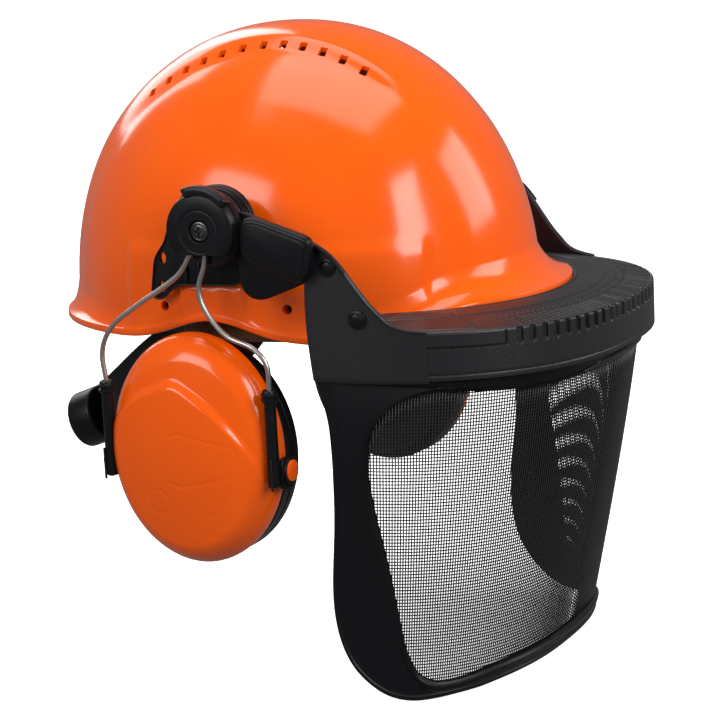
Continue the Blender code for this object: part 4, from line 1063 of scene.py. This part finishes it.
def make_cushions():
    """Foil-skinned rings: the right one is inflated as cloth, and the left one is its mirror image."""
    section = [(86.4, 0.0), (85.9, 0.35), (86.4, 0.75), (88.4, 0.96), (91.0, 1.0), (93.4, 0.98), (94.5, 0.9),
               (94.5, 0.1), (93.2, 0.02), (90.0, 0.0)]
    rows = [oval(-x, 24.6 + (41.6 - 24.6) * share, 33.6 + (49.6 - 33.6) * share, 120, PLATE_Z)
            for x, share in section]
    form = bpy.data.objects.new("cushion_form", mesh_of("cushion_form", *looped(rows), None))
    bpy.context.scene.collection.objects.link(form)
    remesh = form.modifiers.new("Remesh", "REMESH")
    remesh.mode = "VOXEL"
    remesh.voxel_size = 2.6 * MM
    graph = bpy.context.evaluated_depsgraph_get()
    fine = bpy.data.meshes.new_from_object(form.evaluated_get(graph))
    form.modifiers.clear()
    form.data = fine
    inflate(form, 4.0, 1.3)
    shape = form.data
    shape.shade_smooth()
    bpy.data.objects.remove(form)
    for name, side in SIDES.items():
        mesh = shape.copy()
        if side > 0:
            mesh.transform(Matrix.Scale(-1.0, 4, (1.0, 0.0, 0.0)))
            mesh.flip_normals()
        cushion = piece(f"cushion_{name}", mesh, f"ear_cushion_{name}")
        step = cushion.modifiers.new("Subdivision", "SUBSURF")
        step.levels = step.render_levels = 1
        seams = []
        for b, c, x, radius in ((42.4, 50.4, 92.6, 0.45), (25.4, 34.4, 86.0, 0.3)):
            ring = oval(side * x, b, c, 140, PLATE_Z)
            seams.append(sweep(np.vstack([ring, ring[:1]]), radius, 8))
        piece(f"cushion_seam_{name}", join_data("cushion_seam", seams), body=f"muff_cup_{name}",
              look="cushion_skin", slot="cushion_skin")


def make_wires(name, side):
    front, rear = SLEEVES["front"][0], SLEEVES["rear"][0]

    def shift(y, z):
        """Both straight legs stand a little in from their lugs."""
        return float(smooth(20.0, 28.0, -z)) * (0.5 if y < 0 else -2.2)

    route = [(front, -66), (front, -45), (front, -27), (front + 1.2, -14), (-20, -6), (-6, -0.5), (4.5, 11),
             (7.8, 22), (4.2, 33), (3.2, 40.5), (7, 42.2), (10.5, 40), (20, 27.5), (42, 13.5), (56, 4),
             (63, -4.5), (rear - 0.8, -14), (rear, -27), (rear, -45), (rear, -66)]
    path = spline([(side * WIRE_X, y + shift(y, z), z) for y, z in route], 8)
    piece(f"spring_wire_{name}", join_data("spring_wire", [sweep(path, 1.3, 20)], None), f"wire_arm_{name}")
    for end, (y, facing) in SLEEVES.items():
        outline = [(1.6, -79.4), (2.7, -79.4), (3.1, -79.0), (3.2, -78.2), (3.0, -56.0), (2.9, -37.4),
                   (3.9, -36.8), (4.2, -36.2), (4.2, -35.2), (3.6, -34.8), (3.6, -34.2), (4.2, -33.8),
                   (4.2, -32.8), (3.7, -32.4), (3.7, -31.9), (3.3, -31.2), (2.2, -31.0), (1.6, -31.2)]
        parts = [lathe_ring([(r, z + 5.0) for r, z in outline], (side * WIRE_X, y + shift(y, -30.0), 0.0),
                            (0, 0, 1), 40)]
        edge = CUP_Y + facing * CUP_B
        pivot, axis = (side * PIVOT_X, edge, PIVOT_Z), (0, facing, 0)
        x0, x1 = sorted((side * 107.0, side * (WIRE_X - 1.6)))
        lug = rounded(box_outline(x0, x1, -77.0, -61.0), 5.0, 6)
        points, faces = slab(lug, *sorted((edge + facing * 1.2, edge + facing * 3.8)), 0.6)
        parts.append((points[..., [1, 0, 2]], faces))
        collar = [(5.8, 3.4), (6.7, 3.4), (6.9, 4.0), (6.7, 5.0), (6.1, 5.2), (5.8, 4.8)]
        parts.append(lathe_ring(collar, pivot, axis, 48))
        parts.append(slab(rounded(box_outline(y - 0.5, y + 0.5, -76.0, -60.0), 0.4),
                          *sorted((side * (WIRE_X + 2.4), side * (WIRE_X + 3.6))), 0.3))
        piece(f"sleeve_{end}_{name}_moulded", join_data("sleeve", parts, 35.0), f"sleeve_{end}_{name}")
        button = [(2.8, 0.6), (2.8, 4.2), (4.6, 4.2), (5.3, 4.5), (5.4, 5.1), (5.1, 5.7), (4.3, 6.1),
                  (2.5, 6.3), (0.6, 6.35)]
        piece(f"button_{end}_{name}", join_data("button", [lathe(button, pivot, axis, 48)], 30.0),
              f"pivot_button_{end}_{name}")


# ---------------------------------------------------------------- stage, lights and camera

def area_light(name, place, target, size, power, size_y=None):
    data = bpy.data.lights.new(name, "AREA")
    data.energy = power
    data.shape = "RECTANGLE"
    data.size, data.size_y = size, size_y or size
    lamp = bpy.data.objects.new(name, data)
    lamp.location = place
    lamp.rotation_euler = (Vector(target) - Vector(place)).to_track_quat("-Z", "Y").to_euler()
    bpy.context.scene.collection.objects.link(lamp)


def make_stage():
    mat = bpy.data.materials.new("pale_floor")
    mat.use_nodes = True
    tree = mat.node_tree
    shader = tree.nodes["Principled BSDF"]
    coords = add(tree, "ShaderNodeTexCoord").outputs["Object"]
    tone = blended(tree, noise(tree, coords, 3.0), (0.93, 0.93, 0.93), (0.91, 0.91, 0.91))
    tree.links.new(tone, shader.inputs["Base Color"])
    shader.inputs["Roughness"].default_value = 0.9
    shader.inputs["Emission Color"].default_value = (1, 1, 1, 1)
    shader.inputs["Emission Strength"].default_value = 0.9
    floor = CAD_BOX[0][2] - FLOOR_GAP
    ring = [(FLOOR_RADIUS * math.cos(t), FLOOR_RADIUS * math.sin(t), floor) for t in circle(96)]
    data = bpy.data.meshes.new("floor")
    data.from_pydata(ring, [], [list(range(96))])
    data.materials.append(mat)
    obj = bpy.data.objects.new("floor", data)
    bpy.context.scene.collection.objects.link(obj)
    obj.visible_glossy = obj.visible_diffuse = False

    world = bpy.data.worlds.new("studio")
    bpy.context.scene.world = world
    world.use_nodes = True
    background = world.node_tree.nodes["Background"]
    background.inputs["Color"].default_value = (1.0, 1.0, 1.0, 1.0)
    background.inputs["Strength"].default_value = 0.2
    area_light("key_softbox", (-0.7, -1.4, 0.75), (0, 0, 0.0), 0.7, 17.0, 0.9)
    area_light("side_softbox", (-1.5, 0.6, 0.8), (0, 0, 0.0), 0.9, 14.0, 0.9)
    area_light("front_softbox", (0.8, -1.4, 0.7), (0, 0, 0.0), 0.8, 9.0)
    area_light("top_softbox", (0.0, 0.0, 1.5), (0, 0, 0), 1.1, 12.0)
    area_light("rear_softbox", (0.9, 1.2, 0.9), (0, 0, 0), 1.0, 12.0)


def make_camera():
    forward, up = Vector(CAMERA_FORWARD).normalized(), Vector(CAMERA_UP)
    up = (up - forward * up.dot(forward)).normalized()
    right = forward.cross(up)
    data = bpy.data.cameras.new("camera")
    data.sensor_width = 36.0
    data.lens = CAMERA_LENS
    data.clip_start, data.clip_end = 0.05, 50.0
    view = bpy.data.objects.new("camera", data)
    turn = Matrix((right, up, -forward)).transposed().to_4x4()
    view.matrix_world = Matrix.Translation(CAMERA_PLACE) @ turn
    bpy.context.scene.collection.objects.link(view)
    bpy.context.scene.camera = view
    bpy.context.scene.view_settings.view_transform = "Standard"


make_camera()
make_stage()
make_shell()
make_headband()
make_sweatband()
make_straps()
make_nape()
for clip in CLIP_TURNS:
    from_cad(f"suspension_clip_{clip}", f"clip_{clip}", 0.7)
make_guard()
make_visor_frame()
make_mesh()
for side_name, side_sign in SIDES.items():
    make_hub(side_name, side_sign)
    make_cup(side_name, side_sign)
    make_wires(side_name, side_sign)
make_cushions()

bpy.context.view_layer.update()
